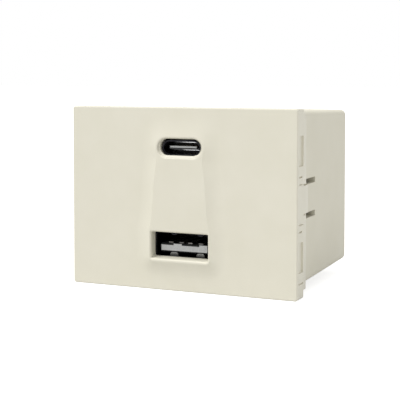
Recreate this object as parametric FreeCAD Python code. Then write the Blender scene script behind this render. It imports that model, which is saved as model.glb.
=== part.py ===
import FreeCAD, Part
import math
import os

# A flush wall socket module with one USB-C port above one USB-A port.
# Frame, in millimetres: +X to the right of someone facing the plate, +Y into the wall, +Z up.
# The origin is the centre of the plate, on the back face of its skirt, where the module seats.

V = FreeCAD.Vector

# Front cover: plate, skirt and the lip behind the skirt
plate_width = 52.0
plate_height = 39.0
plate_wall = 2.0
plate_corner_radius = 0.5
plate_edge_bevel = 0.25
skirt_depth = 4.1
lip_depth = 1.9
lip_side_inset = 0.5
lip_top_inset = 0.35
lip_bottom_inset = 1.7
lip_wall = 1.0
lip_corner_radius = 1.4
room_corner_radius = 0.6

# Nose: the raised wedge that joins the two ports, with slopes that flare into the plate
nose_height = 0.75
nose_margin = 0.3
nose_flare = 3.6
nose_bottom_radius = 0.9
nose_knee_radius = 14.0
nose_sections = 5

# Ports: how far their centres lie from the plate's ends, and their openings' room round the shells
c_port_inset = 8.57
c_opening_side_room = 0.73
c_opening_end_room = 0.545
a_port_inset = 9.6
a_opening_side_room = 0.2
a_opening_end_room = 0.25
a_opening_radius = 0.4
opening_rim_bevel = 0.2
c_lead_depth = 0.87
c_tunnel_clearance = 0.08
a_lead_depth = 2.1
a_mouth_room = 0.05
a_seat_clearance = 0.1
a_seat_front_gap = 0.05

# Claw pockets and grooves on the skirt's short sides
pocket_depth = 0.35
pocket_web = 0.4
pocket_length = 2.8
pocket_height = 6.2
pocket_centre_z = 10.9
groove_depth = 0.3
groove_width = 0.3
groove_inner_z = 4.1
groove_inner_length = 2.9
groove_outer_z = 5.6
groove_outer_length = 2.0
groove_web = 1.1

# Snap tongues of the cover, and the slots beside them in the housing
latch_centre_z = 0.6
latch_width = 5.9
latch_reach = 4.2
latch_gap = 0.15
slot_height = 1.2
slot_length = 5.65
slot_lead = 1.9

# Rear housing
housing_depth = 32.1
housing_wall = 1.8
housing_side_step = 0.25
housing_bottom_step = 0.55
housing_edge_radius = 1.3
housing_inner_radius = 0.6
side_draft = 0.25
top_draft = 1.6
bottom_draft = 1.0
spigot_clearance = 0.1
ridge_height = 0.35
ridge_length = 6.0
ridge_offset_x = 12.0
ridge_centre_y = -0.6

# USB-A receptacle
a_shell_width = 13.1
a_shell_height = 5.7
a_shell_length = 13.5
a_shell_front = -2.5
a_shell_radius = 0.5
shell_sheet = 0.3
base_clearance = 0.1
contact_clearance = 0.01
a_tongue_side_room = 1.05
a_tongue_thickness = 1.84
a_tongue_drop = 0.77
a_tongue_recess = 0.4
a_tongue_chamfer = 0.35
a_base_length = 2.5
a_contact_width = 1.0
a_contact_sheet = 0.25
a_contact_pitches = (-3.5, -1.0, 1.0, 3.5)
a_contact_recess = 0.9
a_rib_width = 1.9
a_rib_places = (-1.55, 4.45)
spring_radius = 1.0
spring_rise = 0.8
spring_offset_x = 3.1
spring_depth = 2.0
spring_length = 2.6

# USB-C receptacle
c_shell_width = 8.94
c_shell_height = 3.26
c_shell_length = 8.0
c_shell_front = -3.4
c_tongue_side_room = 1.125
c_tongue_thickness = 0.7
c_tongue_recess = 0.8
c_base_length = 3.2
c_contact_pitch = 0.5
c_contact_width = 0.25
c_contact_sheet = 0.12
c_contact_count = 12
c_contact_recess = 0.35
c_mid_plate_sheet = 0.15
c_mid_plate_side_room = 0.245
c_mid_plate_length = 5.0

# Circuit boards and the leads that pass through them
power_board_thickness = 1.6
power_board_side_gap = 0.7
power_board_front = -0.4
power_board_shoulder_gap = 1.3
power_board_tail_gap = 0.8
power_board_rear_gap = 0.7
port_board_thickness = 1.2
port_board_side_gap = 0.9
port_board_front = -1.0
port_board_rear_gap = 7.9
lead_width = 0.6
lead_tail = 0.4
lead_clearance = 0.08
leg_width = 1.2
link_pin_width = 0.64
link_pin_pitch = 2.54
link_pin_count = 4
link_pin_side_gap = 2.45
link_pin_rear_gap = 1.4
guide_reach = 0.9
guide_thickness = 1.0
guide_length = 12.0
guide_gap = 0.05
rest_rib_x = 9.0
rest_rib_width = 1.0
barrier_sheet = 0.5
barrier_gap = 0.35
barrier_overhang = 1.6

# Mains terminals: one each side, wires from below, screws from behind
terminal_inset = 7.05
terminal_rise = 8.25
wire_to_rear_wall = 13.2
wire_entry_radius = 1.75
wire_pad_radius = 2.4
wire_pad_step = 0.15
busbar_sheet = 0.9
busbar_width = 4.8
busbar_tongue_length = 7.0
busbar_bridge_height = 1.4
busbar_leg_inset = 7.0
busbar_leg_width = 1.2
busbar_end_gap = 0.8
cage_half_width = 3.6
cage_height = 6.4
cage_sheet = 0.8
cage_nut = 1.2
cage_open_gap = 3.8
cage_nut_gap = 3.1
screw_radius = 1.5
screw_thread_clearance = 0.05
screw_head_radius = 2.3
screw_head_height = 2.0
screw_slot_width = 0.8
screw_slot_depth = 1.1
screw_seat_gap = 0.03
screw_head_gap = 0.1
driver_hole_radius = 2.0
boss_clearance = 0.15
boss_wall = 1.0
boss_lead = 0.6
terminal_rib_inset = 4.1
terminal_rib_width = 1.0
terminal_rib_lead = 0.8
holder_reach = 1.3
holder_length = 1.1

# Transformer
core_width = 16.0
core_thickness = 5.0
core_front_gap = 4.6
core_rear_gap = 0.3
core_stand = 0.4
core_leg = 2.2
core_centre_leg = 4.6
core_back = 2.0
bobbin_wall = 0.7
bobbin_clearance = 0.1
bobbin_flange = 0.8
winding_build = 2.6
winding_margin = 0.3
winding_radius = 0.8
bobbin_rail_length = 1.6
transformer_pin_pitch = 3.6
transformer_pin_count = 4

# Other components on the boards
component_gap = 0.4
bay_side_gap = 0.5
bay_barrier_gap = 0.2
choke_gap = 0.6
varistor_side_gap = 1.3
chip_side_gap = 0.8
chip_core_lead = 1.3
usb_a_controller_gap = 2.35
usb_a_controller_y = 3.0
inductor_side_gap = 1.6
sync_y = 15.0
input_capacitor_y = 3.9
input_capacitor_height = 16.0
input_capacitor_lead_pitch = 3.5
choke_core_radius = 3.0
choke_waist_radius = 2.4
choke_height = 7.0
choke_flange = 1.0
choke_lead_pitch = 3.0
fuse_radius = 1.5
fuse_length = 5.2
fuse_lead_reach = 0.7
varistor_radius = 3.2
varistor_thickness = 3.2
varistor_rear_gap = 5.5
y_capacitor_radius = 3.2
y_capacitor_thickness = 2.2
y_capacitor_x = 4.2
disc_lead_pitch = 4.0
disc_stand = 0.6
bridge_length = 4.0
bridge_depth = 4.7
bridge_height = 2.4
flat_chip_length = 3.9
flat_chip_depth = 4.9
flat_chip_height = 1.5
optocoupler_length = 4.4
optocoupler_depth = 2.4
optocoupler_height = 2.0
optocoupler_x = -3.4
chip_foot = 0.5
usb_a_controller_side = 3.0
usb_a_controller_height = 1.1
inductor_side = 7.0
inductor_height = 4.2
inductor_corner = 1.2
inductor_dish = 0.3
inductor_y = 5.6
sync_x = -12.5
usb_c_controller_side = 4.0
usb_c_controller_height = 0.9
usb_c_controller_y = 10.5
output_capacitor_radius = 3.15
output_capacitor_height = 5.6
output_capacitor_base = 0.8
output_capacitor_margin = 0.1
output_capacitor_x = 12.5
output_capacitor_y = 5.0
chip_part_length = 1.6
chip_part_depth = 0.8
chip_part_height = 0.5
chip_row_pitch = 2.4
chip_resistor_x = -6.0
chip_resistor_y = 15.5
chip_resistor_count = 6
chip_capacitor_x = 6.5
chip_capacitor_y = 19.5
chip_capacitor_count = 5

# How far a cutting shape runs past what it cuts, and a lead or a rib into what carries it
overcut = 1.0
tiny = 1e-6
hair = 1e-4
sink = 0.5

# Levels and places worked out from the sizes above
plate_front = -skirt_depth
c_centre_z = plate_height / 2 - c_port_inset
a_centre_z = -plate_height / 2 + a_port_inset
c_opening_width = c_shell_width + 2 * c_opening_side_room
c_opening_height = c_shell_height + 2 * c_opening_end_room
a_opening_width = a_shell_width + 2 * a_opening_side_room
a_opening_height = a_shell_height + 2 * a_opening_end_room
nose_front = plate_front - nose_height
lip_half_width = plate_width / 2 - lip_side_inset
lip_top = plate_height / 2 - lip_top_inset
lip_bottom = -plate_height / 2 + lip_bottom_inset
room_half_width = lip_half_width - lip_wall
room_top = lip_top - lip_wall
room_bottom = lip_bottom + lip_wall
housing_half_width = lip_half_width - housing_side_step
housing_top = lip_top
housing_bottom = lip_bottom + housing_bottom_step
housing_rear = lip_depth + housing_depth
rear_wall_inner = housing_rear - housing_wall
power_top = a_centre_z - a_shell_height / 2
power_bottom = power_top - power_board_thickness
port_top = c_centre_z - c_shell_height / 2
port_bottom = port_top - port_board_thickness
latch_low = latch_centre_z - latch_width / 2
latch_high = latch_centre_z + latch_width / 2
a_shell_rear = a_shell_front + a_shell_length
a_tongue_width = a_shell_width - 2 * a_tongue_side_room
a_tongue_centre_z = a_centre_z - a_tongue_drop
a_tongue_front = a_shell_front + a_tongue_recess
a_tongue_top = a_tongue_centre_z + a_tongue_thickness / 2
a_tongue_bottom = a_tongue_centre_z - a_tongue_thickness / 2
a_tail_low = power_bottom - lead_tail
c_shell_rear = c_shell_front + c_shell_length
c_tongue_front = c_shell_front + c_tongue_recess
c_tongue_width = c_shell_width - 2 * c_tongue_side_room
c_mid_plate_width = c_tongue_width - 2 * c_mid_plate_side_room
barrier_x = -a_shell_width / 2 - barrier_gap - barrier_sheet / 2
link_pin_x = a_shell_width / 2 + link_pin_side_gap
link_pin_y = a_shell_rear + link_pin_rear_gap
power_board_half_width = housing_half_width - housing_wall - power_board_side_gap
port_board_half_width = housing_half_width - housing_wall - port_board_side_gap
power_board_rear = rear_wall_inner - power_board_rear_gap
port_board_rear = rear_wall_inner - port_board_rear_gap
terminal_x = housing_half_width - terminal_inset
terminal_z = housing_bottom + terminal_rise
wire_y = rear_wall_inner - wire_to_rear_wall
bottom_slope = math.tan(math.radians(bottom_draft))
wire_pad_bottom = housing_bottom + (wire_y - lip_depth) * bottom_slope + wire_pad_step
wire_pad_top = wire_pad_bottom + housing_wall
terminal_rib_x = terminal_x - terminal_rib_inset
power_board_tail_half_width = terminal_rib_x - power_board_tail_gap
busbar_leg_x = terminal_x - busbar_leg_inset
busbar_end_x = housing_half_width - housing_wall - busbar_end_gap
screw_head_rear = rear_wall_inner - screw_head_gap
screw_head_front = screw_head_rear - screw_head_height
busbar_front = wire_y + cage_open_gap / 2
busbar_rear = busbar_front + busbar_sheet
screw_tip = busbar_rear + screw_seat_gap
cage_front = wire_y - cage_open_gap / 2 - cage_sheet
terminal_rib_front = cage_front - terminal_rib_lead
power_board_shoulder = terminal_rib_front - power_board_shoulder_gap
cage_nut_front = busbar_rear + cage_nut_gap
cage_rear = cage_nut_front + cage_nut
cage_top = terminal_z + cage_height / 2
bridge_low = terminal_z - cage_height / 2 + busbar_tongue_length + component_gap
core_centre_z = power_top + bobbin_clearance + core_thickness / 2 + winding_build + bobbin_wall + core_stand
core_front = a_shell_rear + core_front_gap
core_rear = rear_wall_inner - core_rear_gap
core_joint = (core_front + core_rear) / 2


def box(x_low, x_high, y_low, y_high, z_low, z_high):
    """A block between two corners."""
    return Part.makeBox(x_high - x_low, y_high - y_low, z_high - z_low, V(x_low, y_low, z_low))


def block_on(place, size, z_low):
    """A block of the given size, centred over a place on a board."""
    x, y = place
    length, depth, height = size
    return box(x - length / 2, x + length / 2, y - depth / 2, y + depth / 2, z_low, z_low + height)


def rod(radius, start, end):
    """A round rod between two points."""
    along = end.sub(start)
    return Part.makeCylinder(radius, along.Length, start, along)


def rectangle(x_low, x_high, z_low, z_high):
    """Four corners, anticlockwise for someone who faces the plate."""
    return [(x_low, z_low), (x_high, z_low), (x_high, z_high), (x_low, z_high)]


def rounded_polygon(corners, radii, grow, y):
    """Wire in the plane at y: each side of a convex outline moved out by grow, each corner an arc.

    An arc's radius is the corner's own radius plus grow, so a larger outline stays parallel.
    """
    count = len(corners)
    sides = []
    for index in range(count):
        x_start, z_start = corners[index]
        x_end, z_end = corners[(index + 1) % count]
        length = math.hypot(x_end - x_start, z_end - z_start)
        x_way = (x_end - x_start) / length
        z_way = (z_end - z_start) / length
        sides.append((x_start + z_way * grow, z_start - x_way * grow, x_way, z_way))
    arcs = []
    for index in range(count):
        x_before, z_before, ax, az = sides[index - 1]
        x_after, z_after, bx, bz = sides[index]
        cross = ax * bz - az * bx
        along = ((x_after - x_before) * bz - (z_after - z_before) * bx) / cross
        corner_x = x_before + ax * along
        corner_z = z_before + az * along
        half_turn = math.atan2(cross, ax * bx + az * bz) / 2
        radius = radii[index] + grow
        back = radius * math.tan(half_turn)
        inward = radius * (1 / math.cos(half_turn) - 1) / math.hypot(bx - ax, bz - az)
        start = V(corner_x - ax * back, y, corner_z - az * back)
        middle = V(corner_x + (bx - ax) * inward, y, corner_z + (bz - az) * inward)
        end = V(corner_x + bx * back, y, corner_z + bz * back)
        arcs.append((start, middle, end))
    edges = []
    for index in range(count):
        start, middle, end = arcs[index]
        edges.append(Part.Arc(start, middle, end).toShape())
        following = arcs[(index + 1) % count][0]
        if end.distanceToPoint(following) > tiny:
            edges.append(Part.makeLine(end, following))
    return Part.Wire(edges)


def prism(wire, depth):
    """A wire's face, extruded along +Y."""
    return Part.Face(wire).extrude(V(0, depth, 0))


def rounded_block(x_low, x_high, z_low, z_high, radius, y_low, y_high):
    """A block along Y with rounded long edges."""
    wire = rounded_polygon(rectangle(x_low, x_high, z_low, z_high), [radius] * 4, 0.0, y_low)
    return prism(wire, y_high - y_low)


def stadium(width, height, centre_z, y_low, y_high):
    """A slot shape with round ends, extruded along Y."""
    return rounded_block(-width / 2, width / 2, centre_z - height / 2, centre_z + height / 2,
                         height / 2 - hair, y_low, y_high)


def flat_edges(shape, y):
    """The edges of a shape that lie wholly in the plane at y."""
    return [edge for edge in shape.Edges
            if abs(edge.BoundBox.YMin - y) < hair and abs(edge.BoundBox.YMax - y) < hair]


def join(shapes):
    """One solid from overlapping or touching ones."""
    return shapes[0].multiFuse(shapes[1:]).removeSplitter()


def mirrored(shape):
    """The same shape on the other side of the centre plane."""
    return shape.mirror(V(0, 0, 0), V(1, 0, 0))


def posts(places, width, z_low, z_high):
    """Square leads that stand at each place."""
    half = width / 2
    return [box(x - half, x + half, y - half, y + half, z_low, z_high) for x, y in places]


def pair_along_x(place, pitch):
    """Two lead places, either side of a component's centre."""
    x, y = place
    return [(x - pitch / 2, y), (x + pitch / 2, y)]


def pair_along_y(place, pitch):
    """Two lead places, in front of and behind a component's centre."""
    x, y = place
    return [(x, y - pitch / 2), (x, y + pitch / 2)]


def save(name, shape):
    """Write one node."""
    shape.exportStep(os.path.join("parts", name + ".step"))


# Places of the components: two capacitors fill the bay between the side wall and the barrier
bay_outer = -power_board_half_width + guide_reach + bay_side_gap
bay_inner = barrier_x - barrier_sheet / 2 - bay_barrier_gap
input_capacitor_radius = (bay_inner - bay_outer - component_gap) / 4
input_capacitor_places = [(bay_inner - input_capacitor_radius, input_capacitor_y),
                          (bay_outer + input_capacitor_radius, input_capacitor_y)]
choke_place = (bay_inner - input_capacitor_radius,
               input_capacitor_y + input_capacitor_radius + choke_gap + choke_core_radius)
fuse_place = (bay_outer + fuse_length / 2 + fuse_lead_reach + lead_width / 2,
              choke_place[1] - component_gap)
varistor_place = (-core_width / 2 - varistor_side_gap - varistor_thickness / 2,
                  rear_wall_inner - varistor_rear_gap)
optocoupler_place = (optocoupler_x, a_shell_rear + component_gap + optocoupler_depth / 2)
y_capacitor_place = (y_capacitor_x, optocoupler_place[1])
bridge_place = (-core_width / 2 - chip_side_gap - bridge_length / 2, core_front + chip_core_lead)
primary_place = (core_width / 2 + chip_side_gap + flat_chip_length / 2, core_front + chip_core_lead)
usb_a_controller_place = (a_shell_width / 2 + usb_a_controller_gap + usb_a_controller_side / 2,
                          usb_a_controller_y)
inductor_place = (power_board_half_width - guide_reach - inductor_side_gap - inductor_side / 2,
                  inductor_y)
output_capacitor_places = [(-output_capacitor_x, output_capacitor_y),
                           (output_capacitor_x, output_capacitor_y)]

# Places of the leads that pass through each board
a_tail_y = a_shell_rear + a_contact_sheet / 2
a_tail_places = [(x, a_tail_y) for x in a_contact_pitches]
leg_places_y = (a_shell_front + a_shell_length * 0.35, a_shell_front + a_shell_length * 0.8)
c_leg_places_y = (c_shell_front + c_shell_length * 0.5, c_shell_front + c_shell_length * 0.85)
link_places = [(link_pin_x + link_pin_pitch * index, link_pin_y) for index in range(link_pin_count)]
busbar_mid_y = (busbar_front + busbar_rear) / 2
fuse_lead_places = pair_along_x(fuse_place, fuse_length + 2 * fuse_lead_reach)
varistor_leads = pair_along_y(varistor_place, disc_lead_pitch)
y_capacitor_leads = pair_along_x(y_capacitor_place, disc_lead_pitch)
choke_leads = pair_along_x(choke_place, choke_lead_pitch)
pin_span = transformer_pin_pitch * (transformer_pin_count - 1)
rail_front_y = core_front - bobbin_clearance - bobbin_rail_length / 2
rail_rear_y = core_rear - bobbin_rail_length
input_capacitor_leads = []
for capacitor_place in input_capacitor_places:
    input_capacitor_leads += pair_along_x(capacitor_place, input_capacitor_lead_pitch)


def nose():
    """Raised wedge: a flat front whose slopes fall away as a parabola and die out in the plate."""
    c_half = c_opening_width / 2 + nose_margin
    a_half = a_opening_width / 2 + nose_margin
    top = c_centre_z + c_opening_height / 2 + nose_margin
    knee = a_centre_z + a_opening_height / 2 + nose_margin
    bottom = a_centre_z - a_opening_height / 2 - nose_margin
    corners = [(-a_half, bottom), (a_half, bottom), (a_half, knee),
               (c_half, top), (-c_half, top), (-a_half, knee)]
    top_radius = c_opening_height / 2 + nose_margin
    radii = [nose_bottom_radius, nose_bottom_radius, nose_knee_radius,
             top_radius, top_radius, nose_knee_radius]
    wires = []
    for index in range(nose_sections):
        share = index / (nose_sections - 1)
        y = plate_front - nose_height * (1 - share) ** 2
        wires.append(rounded_polygon(corners, radii, nose_flare * share, y))
    return Part.makeLoft(wires, True, False)


def port_opening(centre_z, steps):
    """Opening along Y whose width, height and corner radius change evenly between its depths."""
    wires = []
    for y, width, height, radius in steps:
        outline = rectangle(-width / 2, width / 2, centre_z - height / 2, centre_z + height / 2)
        wires.append(rounded_polygon(outline, [radius] * 4, 0.0, y))
    return Part.makeLoft(wires, True, True)


def c_opening():
    """Bevelled rim, tapering lead-in, and a tunnel that fits closely round the USB-C shell."""
    rim_width = c_opening_width + 2 * opening_rim_bevel
    rim_height = c_opening_height + 2 * opening_rim_bevel
    tunnel_width = c_shell_width + 2 * c_tunnel_clearance
    tunnel_height = c_shell_height + 2 * c_tunnel_clearance
    sizes = [(nose_front - overcut, rim_width, rim_height), (nose_front, rim_width, rim_height),
             (nose_front + opening_rim_bevel, c_opening_width, c_opening_height),
             (nose_front + c_lead_depth, tunnel_width, tunnel_height),
             (plate_front + plate_wall + overcut, tunnel_width, tunnel_height)]
    return port_opening(c_centre_z, [(y, width, height, height / 2 - hair)
                                     for y, width, height in sizes])


def a_opening():
    """Bevelled rim, lead-in down to the inside of the USB-A shell, and the shell's seat behind it."""
    rim_width = a_opening_width + 2 * opening_rim_bevel
    rim_height = a_opening_height + 2 * opening_rim_bevel
    rim_radius = a_opening_radius + opening_rim_bevel
    mouth_width = a_shell_width - 2 * shell_sheet + 2 * a_mouth_room
    mouth_height = a_shell_height - 2 * shell_sheet + 2 * a_mouth_room
    seat_front = a_shell_front - a_seat_front_gap
    mouth = port_opening(a_centre_z, [
        (nose_front - overcut, rim_width, rim_height, rim_radius),
        (nose_front, rim_width, rim_height, rim_radius),
        (nose_front + opening_rim_bevel, a_opening_width, a_opening_height, a_opening_radius),
        (nose_front + a_lead_depth, mouth_width, mouth_height, a_opening_radius),
        (seat_front + overcut, mouth_width, mouth_height, a_opening_radius)])
    half = a_shell_width / 2 + a_seat_clearance
    rise = a_shell_height / 2 + a_seat_clearance
    seat = rounded_block(-half, half, a_centre_z - rise, a_centre_z + rise,
                         a_shell_radius + a_seat_clearance, seat_front,
                         plate_front + plate_wall + overcut)
    return join([mouth, seat])


def snap_ridges(grow):
    """Wedge ridges on the spigot's top and bottom, grown a little where they are a groove."""
    shapes = []
    for x in (-ridge_offset_x, ridge_offset_x):
        for z, way in ((room_top - spigot_clearance, 1), (room_bottom + spigot_clearance, -1)):
            height = ridge_height + grow
            points = [V(x, ridge_centre_y - height, z), V(x, ridge_centre_y, z + way * height),
                      V(x, ridge_centre_y + height, z), V(x, ridge_centre_y - height, z)]
            wedge = Part.Face(Part.makePolygon(points)).extrude(V(ridge_length + 2 * grow, 0, 0))
            shapes.append(wedge.translated(V(-ridge_length / 2 - grow, 0, 0)))
    return shapes


def skirt_cuts():
    """Claw pockets and fine grooves on the right-hand short side of the skirt."""
    outside = plate_width / 2 + overcut
    floor = plate_width / 2 - pocket_depth
    groove_floor = plate_width / 2 - groove_depth
    cuts = []
    for way in (-1, 1):
        z = way * pocket_centre_z
        cuts.append(box(floor, outside, -pocket_web - pocket_length, -pocket_web,
                        z - pocket_height / 2, z + pocket_height / 2))
        z = way * groove_inner_z
        cuts.append(box(groove_floor, outside, -groove_inner_length, overcut,
                        z - groove_width / 2, z + groove_width / 2))
        z = way * groove_outer_z
        cuts.append(box(groove_floor, outside, -groove_web - groove_outer_length, -groove_web,
                        z - groove_width / 2, z + groove_width / 2))
    return cuts


def front_cover():
    """Plate with skirt, lip, nose, port openings and one snap tongue on each short side."""
    skirt = rounded_block(-plate_width / 2, plate_width / 2, -plate_height / 2, plate_height / 2,
                          plate_corner_radius, plate_front, 0.0)
    skirt = skirt.makeChamfer(plate_edge_bevel, flat_edges(skirt, plate_front))
    lip = rounded_block(-lip_half_width, lip_half_width, lip_bottom, lip_top,
                        lip_corner_radius, plate_front + plate_wall, lip_depth)
    tongue = box(room_half_width, lip_half_width, 0.0, latch_reach, latch_low, latch_high)
    body = join([skirt, nose(), lip, tongue, mirrored(tongue)])
    room = rounded_block(-room_half_width, room_half_width, room_bottom, room_top,
                         room_corner_radius, plate_front + plate_wall, lip_depth + overcut)
    openings = [a_opening(), c_opening()]
    slits = []
    for z in (latch_low - latch_gap, latch_high + latch_gap):
        slits.append(box(room_half_width - overcut, plate_width / 2 - 2 * groove_depth,
                         0.0, lip_depth + overcut, z - latch_gap, z + latch_gap))
    cuts = slits + skirt_cuts()
    cuts += [mirrored(shape) for shape in cuts]
    return body.cut([room] + openings + cuts + snap_ridges(spigot_clearance))


def drafted_block(y_low, y_high, inset):
    """The housing's tapering block between two depths, taken in by a wall."""
    halves, tops, bottoms = [], [], []
    for y in (y_low, y_high):
        run = y - lip_depth
        halves.append(housing_half_width - run * math.tan(math.radians(side_draft)) - inset)
        tops.append(housing_top - run * math.tan(math.radians(top_draft)) - inset)
        bottoms.append(housing_bottom + run * bottom_slope + inset)
    return Part.makeWedge(-halves[0], y_low, bottoms[0], bottoms[1], -halves[1],
                          halves[0], y_high, tops[0], tops[1], halves[1])


def long_edges(block):
    """A block's four edges along Y."""
    return [edge for edge in block.Edges
            if edge.BoundBox.YLength > max(edge.BoundBox.XLength, edge.BoundBox.ZLength)]


def board_guides():
    """Ledges on the right-hand side wall, under and over each board's edge."""
    wall = housing_half_width - housing_wall / 2
    shapes = []
    for half, low, high in ((power_board_half_width, power_bottom, power_top),
                            (port_board_half_width, port_bottom, port_top)):
        inner = half - guide_reach
        for z_low in (low - guide_gap - guide_thickness, high + guide_gap):
            shapes.append(box(inner, wall, lip_depth, lip_depth + guide_length,
                              z_low, z_low + guide_thickness))
    return shapes


def terminal_pocket():
    """Rib, screw boss, wire pad and busbar holder that carry the right-hand terminal."""
    low = housing_bottom + housing_wall / 2
    outer = housing_half_width - housing_wall / 2
    rib = box(terminal_rib_x - terminal_rib_width / 2, terminal_rib_x + terminal_rib_width / 2,
              terminal_rib_front, rear_wall_inner + housing_wall / 2, low, bridge_low)
    holder_inner = busbar_end_x - holder_reach / 2
    holders = []
    for y_low in (busbar_front - guide_gap - holder_length, busbar_rear + guide_gap):
        holders.append(box(holder_inner, outer, y_low, y_low + holder_length,
                           bridge_low, bridge_low + busbar_bridge_height))
    boss_half = screw_head_radius + boss_clearance + boss_wall
    boss = box(terminal_x - boss_half, terminal_x + boss_half, screw_head_front - boss_lead,
               rear_wall_inner + housing_wall / 2, terminal_z - boss_half, terminal_z + boss_half)
    pad = rod(wire_pad_radius, V(terminal_x, wire_y, wire_pad_top - housing_wall / 2),
              V(terminal_x, wire_y, wire_pad_top))
    return [rib, boss, pad] + holders


def terminal_cuts():
    """Boss bore, driver hole, and wire entry with its flat outer seat, of the right-hand terminal."""
    bore = rod(screw_head_radius + boss_clearance, V(terminal_x, screw_head_front - overcut, terminal_z),
               V(terminal_x, rear_wall_inner, terminal_z))
    driver = rod(driver_hole_radius, V(terminal_x, rear_wall_inner - overcut, terminal_z),
                 V(terminal_x, housing_rear + overcut, terminal_z))
    entry = rod(wire_entry_radius, V(terminal_x, wire_y, wire_pad_bottom - overcut),
                V(terminal_x, wire_y, wire_pad_top + overcut))
    seat = rod(wire_pad_radius, V(terminal_x, wire_y, housing_bottom - overcut),
               V(terminal_x, wire_y, wire_pad_bottom))
    return [bore, driver, entry, seat]


def latch_cuts():
    """Seat for the cover's snap tongue and the two slots beside it, on the right-hand side."""
    outside = housing_half_width + overcut
    seat = box(room_half_width - latch_gap, outside, lip_depth - overcut, latch_reach + latch_gap,
               latch_low - latch_gap, latch_high + latch_gap)
    cuts = [seat]
    for z_low in (latch_low - slot_height, latch_high):
        cuts.append(box(housing_half_width - 2 * housing_wall, outside, lip_depth + slot_lead,
                        latch_reach + slot_length, z_low, z_low + slot_height))
    return cuts


def rear_housing():
    """Drafted box, open at the front, with spigot, guides, terminal pockets and latch slots."""
    shell = drafted_block(lip_depth, housing_rear, 0.0)
    shell = shell.makeFillet(housing_edge_radius, long_edges(shell) + flat_edges(shell, housing_rear))
    spigot = rounded_block(-room_half_width + spigot_clearance, room_half_width - spigot_clearance,
                           room_bottom + spigot_clearance, room_top - spigot_clearance,
                           housing_inner_radius, plate_front + plate_wall + spigot_clearance,
                           lip_depth + sink)
    hollow = drafted_block(plate_front, rear_wall_inner, housing_wall)
    hollow = hollow.makeFillet(housing_inner_radius, long_edges(hollow))
    walls = join([shell, spigot] + snap_ridges(0.0)).cut(hollow)
    rest_ribs = []
    for x in (-rest_rib_x, rest_rib_x):
        rest_ribs.append(box(x - rest_rib_width / 2, x + rest_rib_width / 2, core_front, core_rear,
                             housing_bottom + housing_wall / 2, power_bottom))
    right_side = board_guides() + terminal_pocket()
    walls = join([walls] + rest_ribs + right_side + [mirrored(shape) for shape in right_side])
    cuts = terminal_cuts() + latch_cuts()
    return walls.cut(cuts + [mirrored(shape) for shape in cuts])


def shell_legs(half_width, places_y, z_low, z_high):
    """Bent legs of a receptacle shell, two each side, that pass through the board."""
    legs = []
    for y in places_y:
        leg = box(half_width - shell_sheet, half_width, y - leg_width / 2, y + leg_width / 2,
                  z_low, z_high)
        legs += [leg, mirrored(leg)]
    return legs


def usb_a_shell():
    """Folded steel tube with two half-round springs pressed into its floor and two into its roof."""
    half = a_shell_width / 2
    low = a_centre_z - a_shell_height / 2
    high = a_centre_z + a_shell_height / 2
    tube = rounded_block(-half, half, low, high, a_shell_radius, a_shell_front, a_shell_rear)
    legs = shell_legs(half, leg_places_y, a_tail_low, a_centre_z)
    hollow = rounded_block(-half + shell_sheet, half - shell_sheet, low + shell_sheet,
                           high - shell_sheet, a_shell_radius - shell_sheet / 2,
                           a_shell_front - overcut, a_shell_rear + overcut)
    shell = join([tube] + legs).cut(hollow)
    springs = []
    for x in (-spring_offset_x, spring_offset_x):
        for inner, way in ((low + shell_sheet, 1), (high - shell_sheet, -1)):
            axis_z = inner + way * (spring_rise - spring_radius)
            start = V(x, a_shell_front + spring_depth, axis_z)
            springs.append(rod(spring_radius, start, start.add(V(0, spring_length, 0))))
    inside = box(-half + shell_sheet / 2, half - shell_sheet / 2, a_shell_front, a_shell_rear,
                 low + shell_sheet / 2, high - shell_sheet / 2)
    return join([shell] + [spring.common(inside) for spring in springs])


def a_contact_shapes(grow):
    """Four strips on the tongue that run through the base and turn down into the board."""
    half = a_contact_width / 2 + grow
    front = a_tongue_front + a_contact_recess - grow
    strips = []
    for x in a_contact_pitches:
        strip = box(x - half, x + half, front, a_shell_rear,
                    a_tongue_top - grow, a_tongue_top + a_contact_sheet + grow)
        strips.append(strip)
    return strips


def usb_a_contacts():
    """Each strip with its tail, as one piece."""
    pieces = []
    for strip, x in zip(a_contact_shapes(0.0), a_contact_pitches):
        half = a_contact_width / 2
        turn = box(x - half, x + half, a_shell_rear, a_shell_rear + a_contact_sheet,
                   power_top + a_contact_sheet, a_tongue_top + a_contact_sheet)
        tail = posts([(x, a_tail_y)], a_contact_sheet, a_tail_low, power_top + sink)
        pieces.append(join([strip, turn] + tail))
    return Part.makeCompound(pieces)


def usb_a_insulator():
    """Base block in the shell with a tongue whose front edges are bevelled, but for two ribs."""
    inner_half = a_shell_width / 2 - shell_sheet
    low = a_centre_z - a_shell_height / 2 + shell_sheet
    high = a_centre_z + a_shell_height / 2 - shell_sheet
    base_half = inner_half - base_clearance
    base = box(-base_half, base_half, a_shell_rear - a_base_length, a_shell_rear, low, high)
    base = base.makeFillet(a_shell_radius, [edge for edge in base.Edges
                                            if abs(edge.BoundBox.YLength - a_base_length) < tiny])
    front, top, bottom = a_tongue_front, a_tongue_top, a_tongue_bottom
    bevel = a_tongue_chamfer
    rear = a_shell_rear - a_base_length / 2
    profile = [V(0, front, bottom + bevel), V(0, front, top - bevel), V(0, front + bevel, top),
               V(0, rear, top), V(0, rear, bottom), V(0, front + bevel, bottom),
               V(0, front, bottom + bevel)]
    tongue = Part.Face(Part.makePolygon(profile)).extrude(V(a_tongue_width, 0, 0))
    tongue.translate(V(-a_tongue_width / 2, 0, 0))
    ribs = []
    for x in a_rib_places:
        ribs.append(box(x - a_rib_width / 2, x + a_rib_width / 2, front, front + bevel,
                        bottom + 2 * bevel, top))
    body = join([base, tongue] + ribs)
    return body.cut(a_contact_shapes(contact_clearance))


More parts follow.
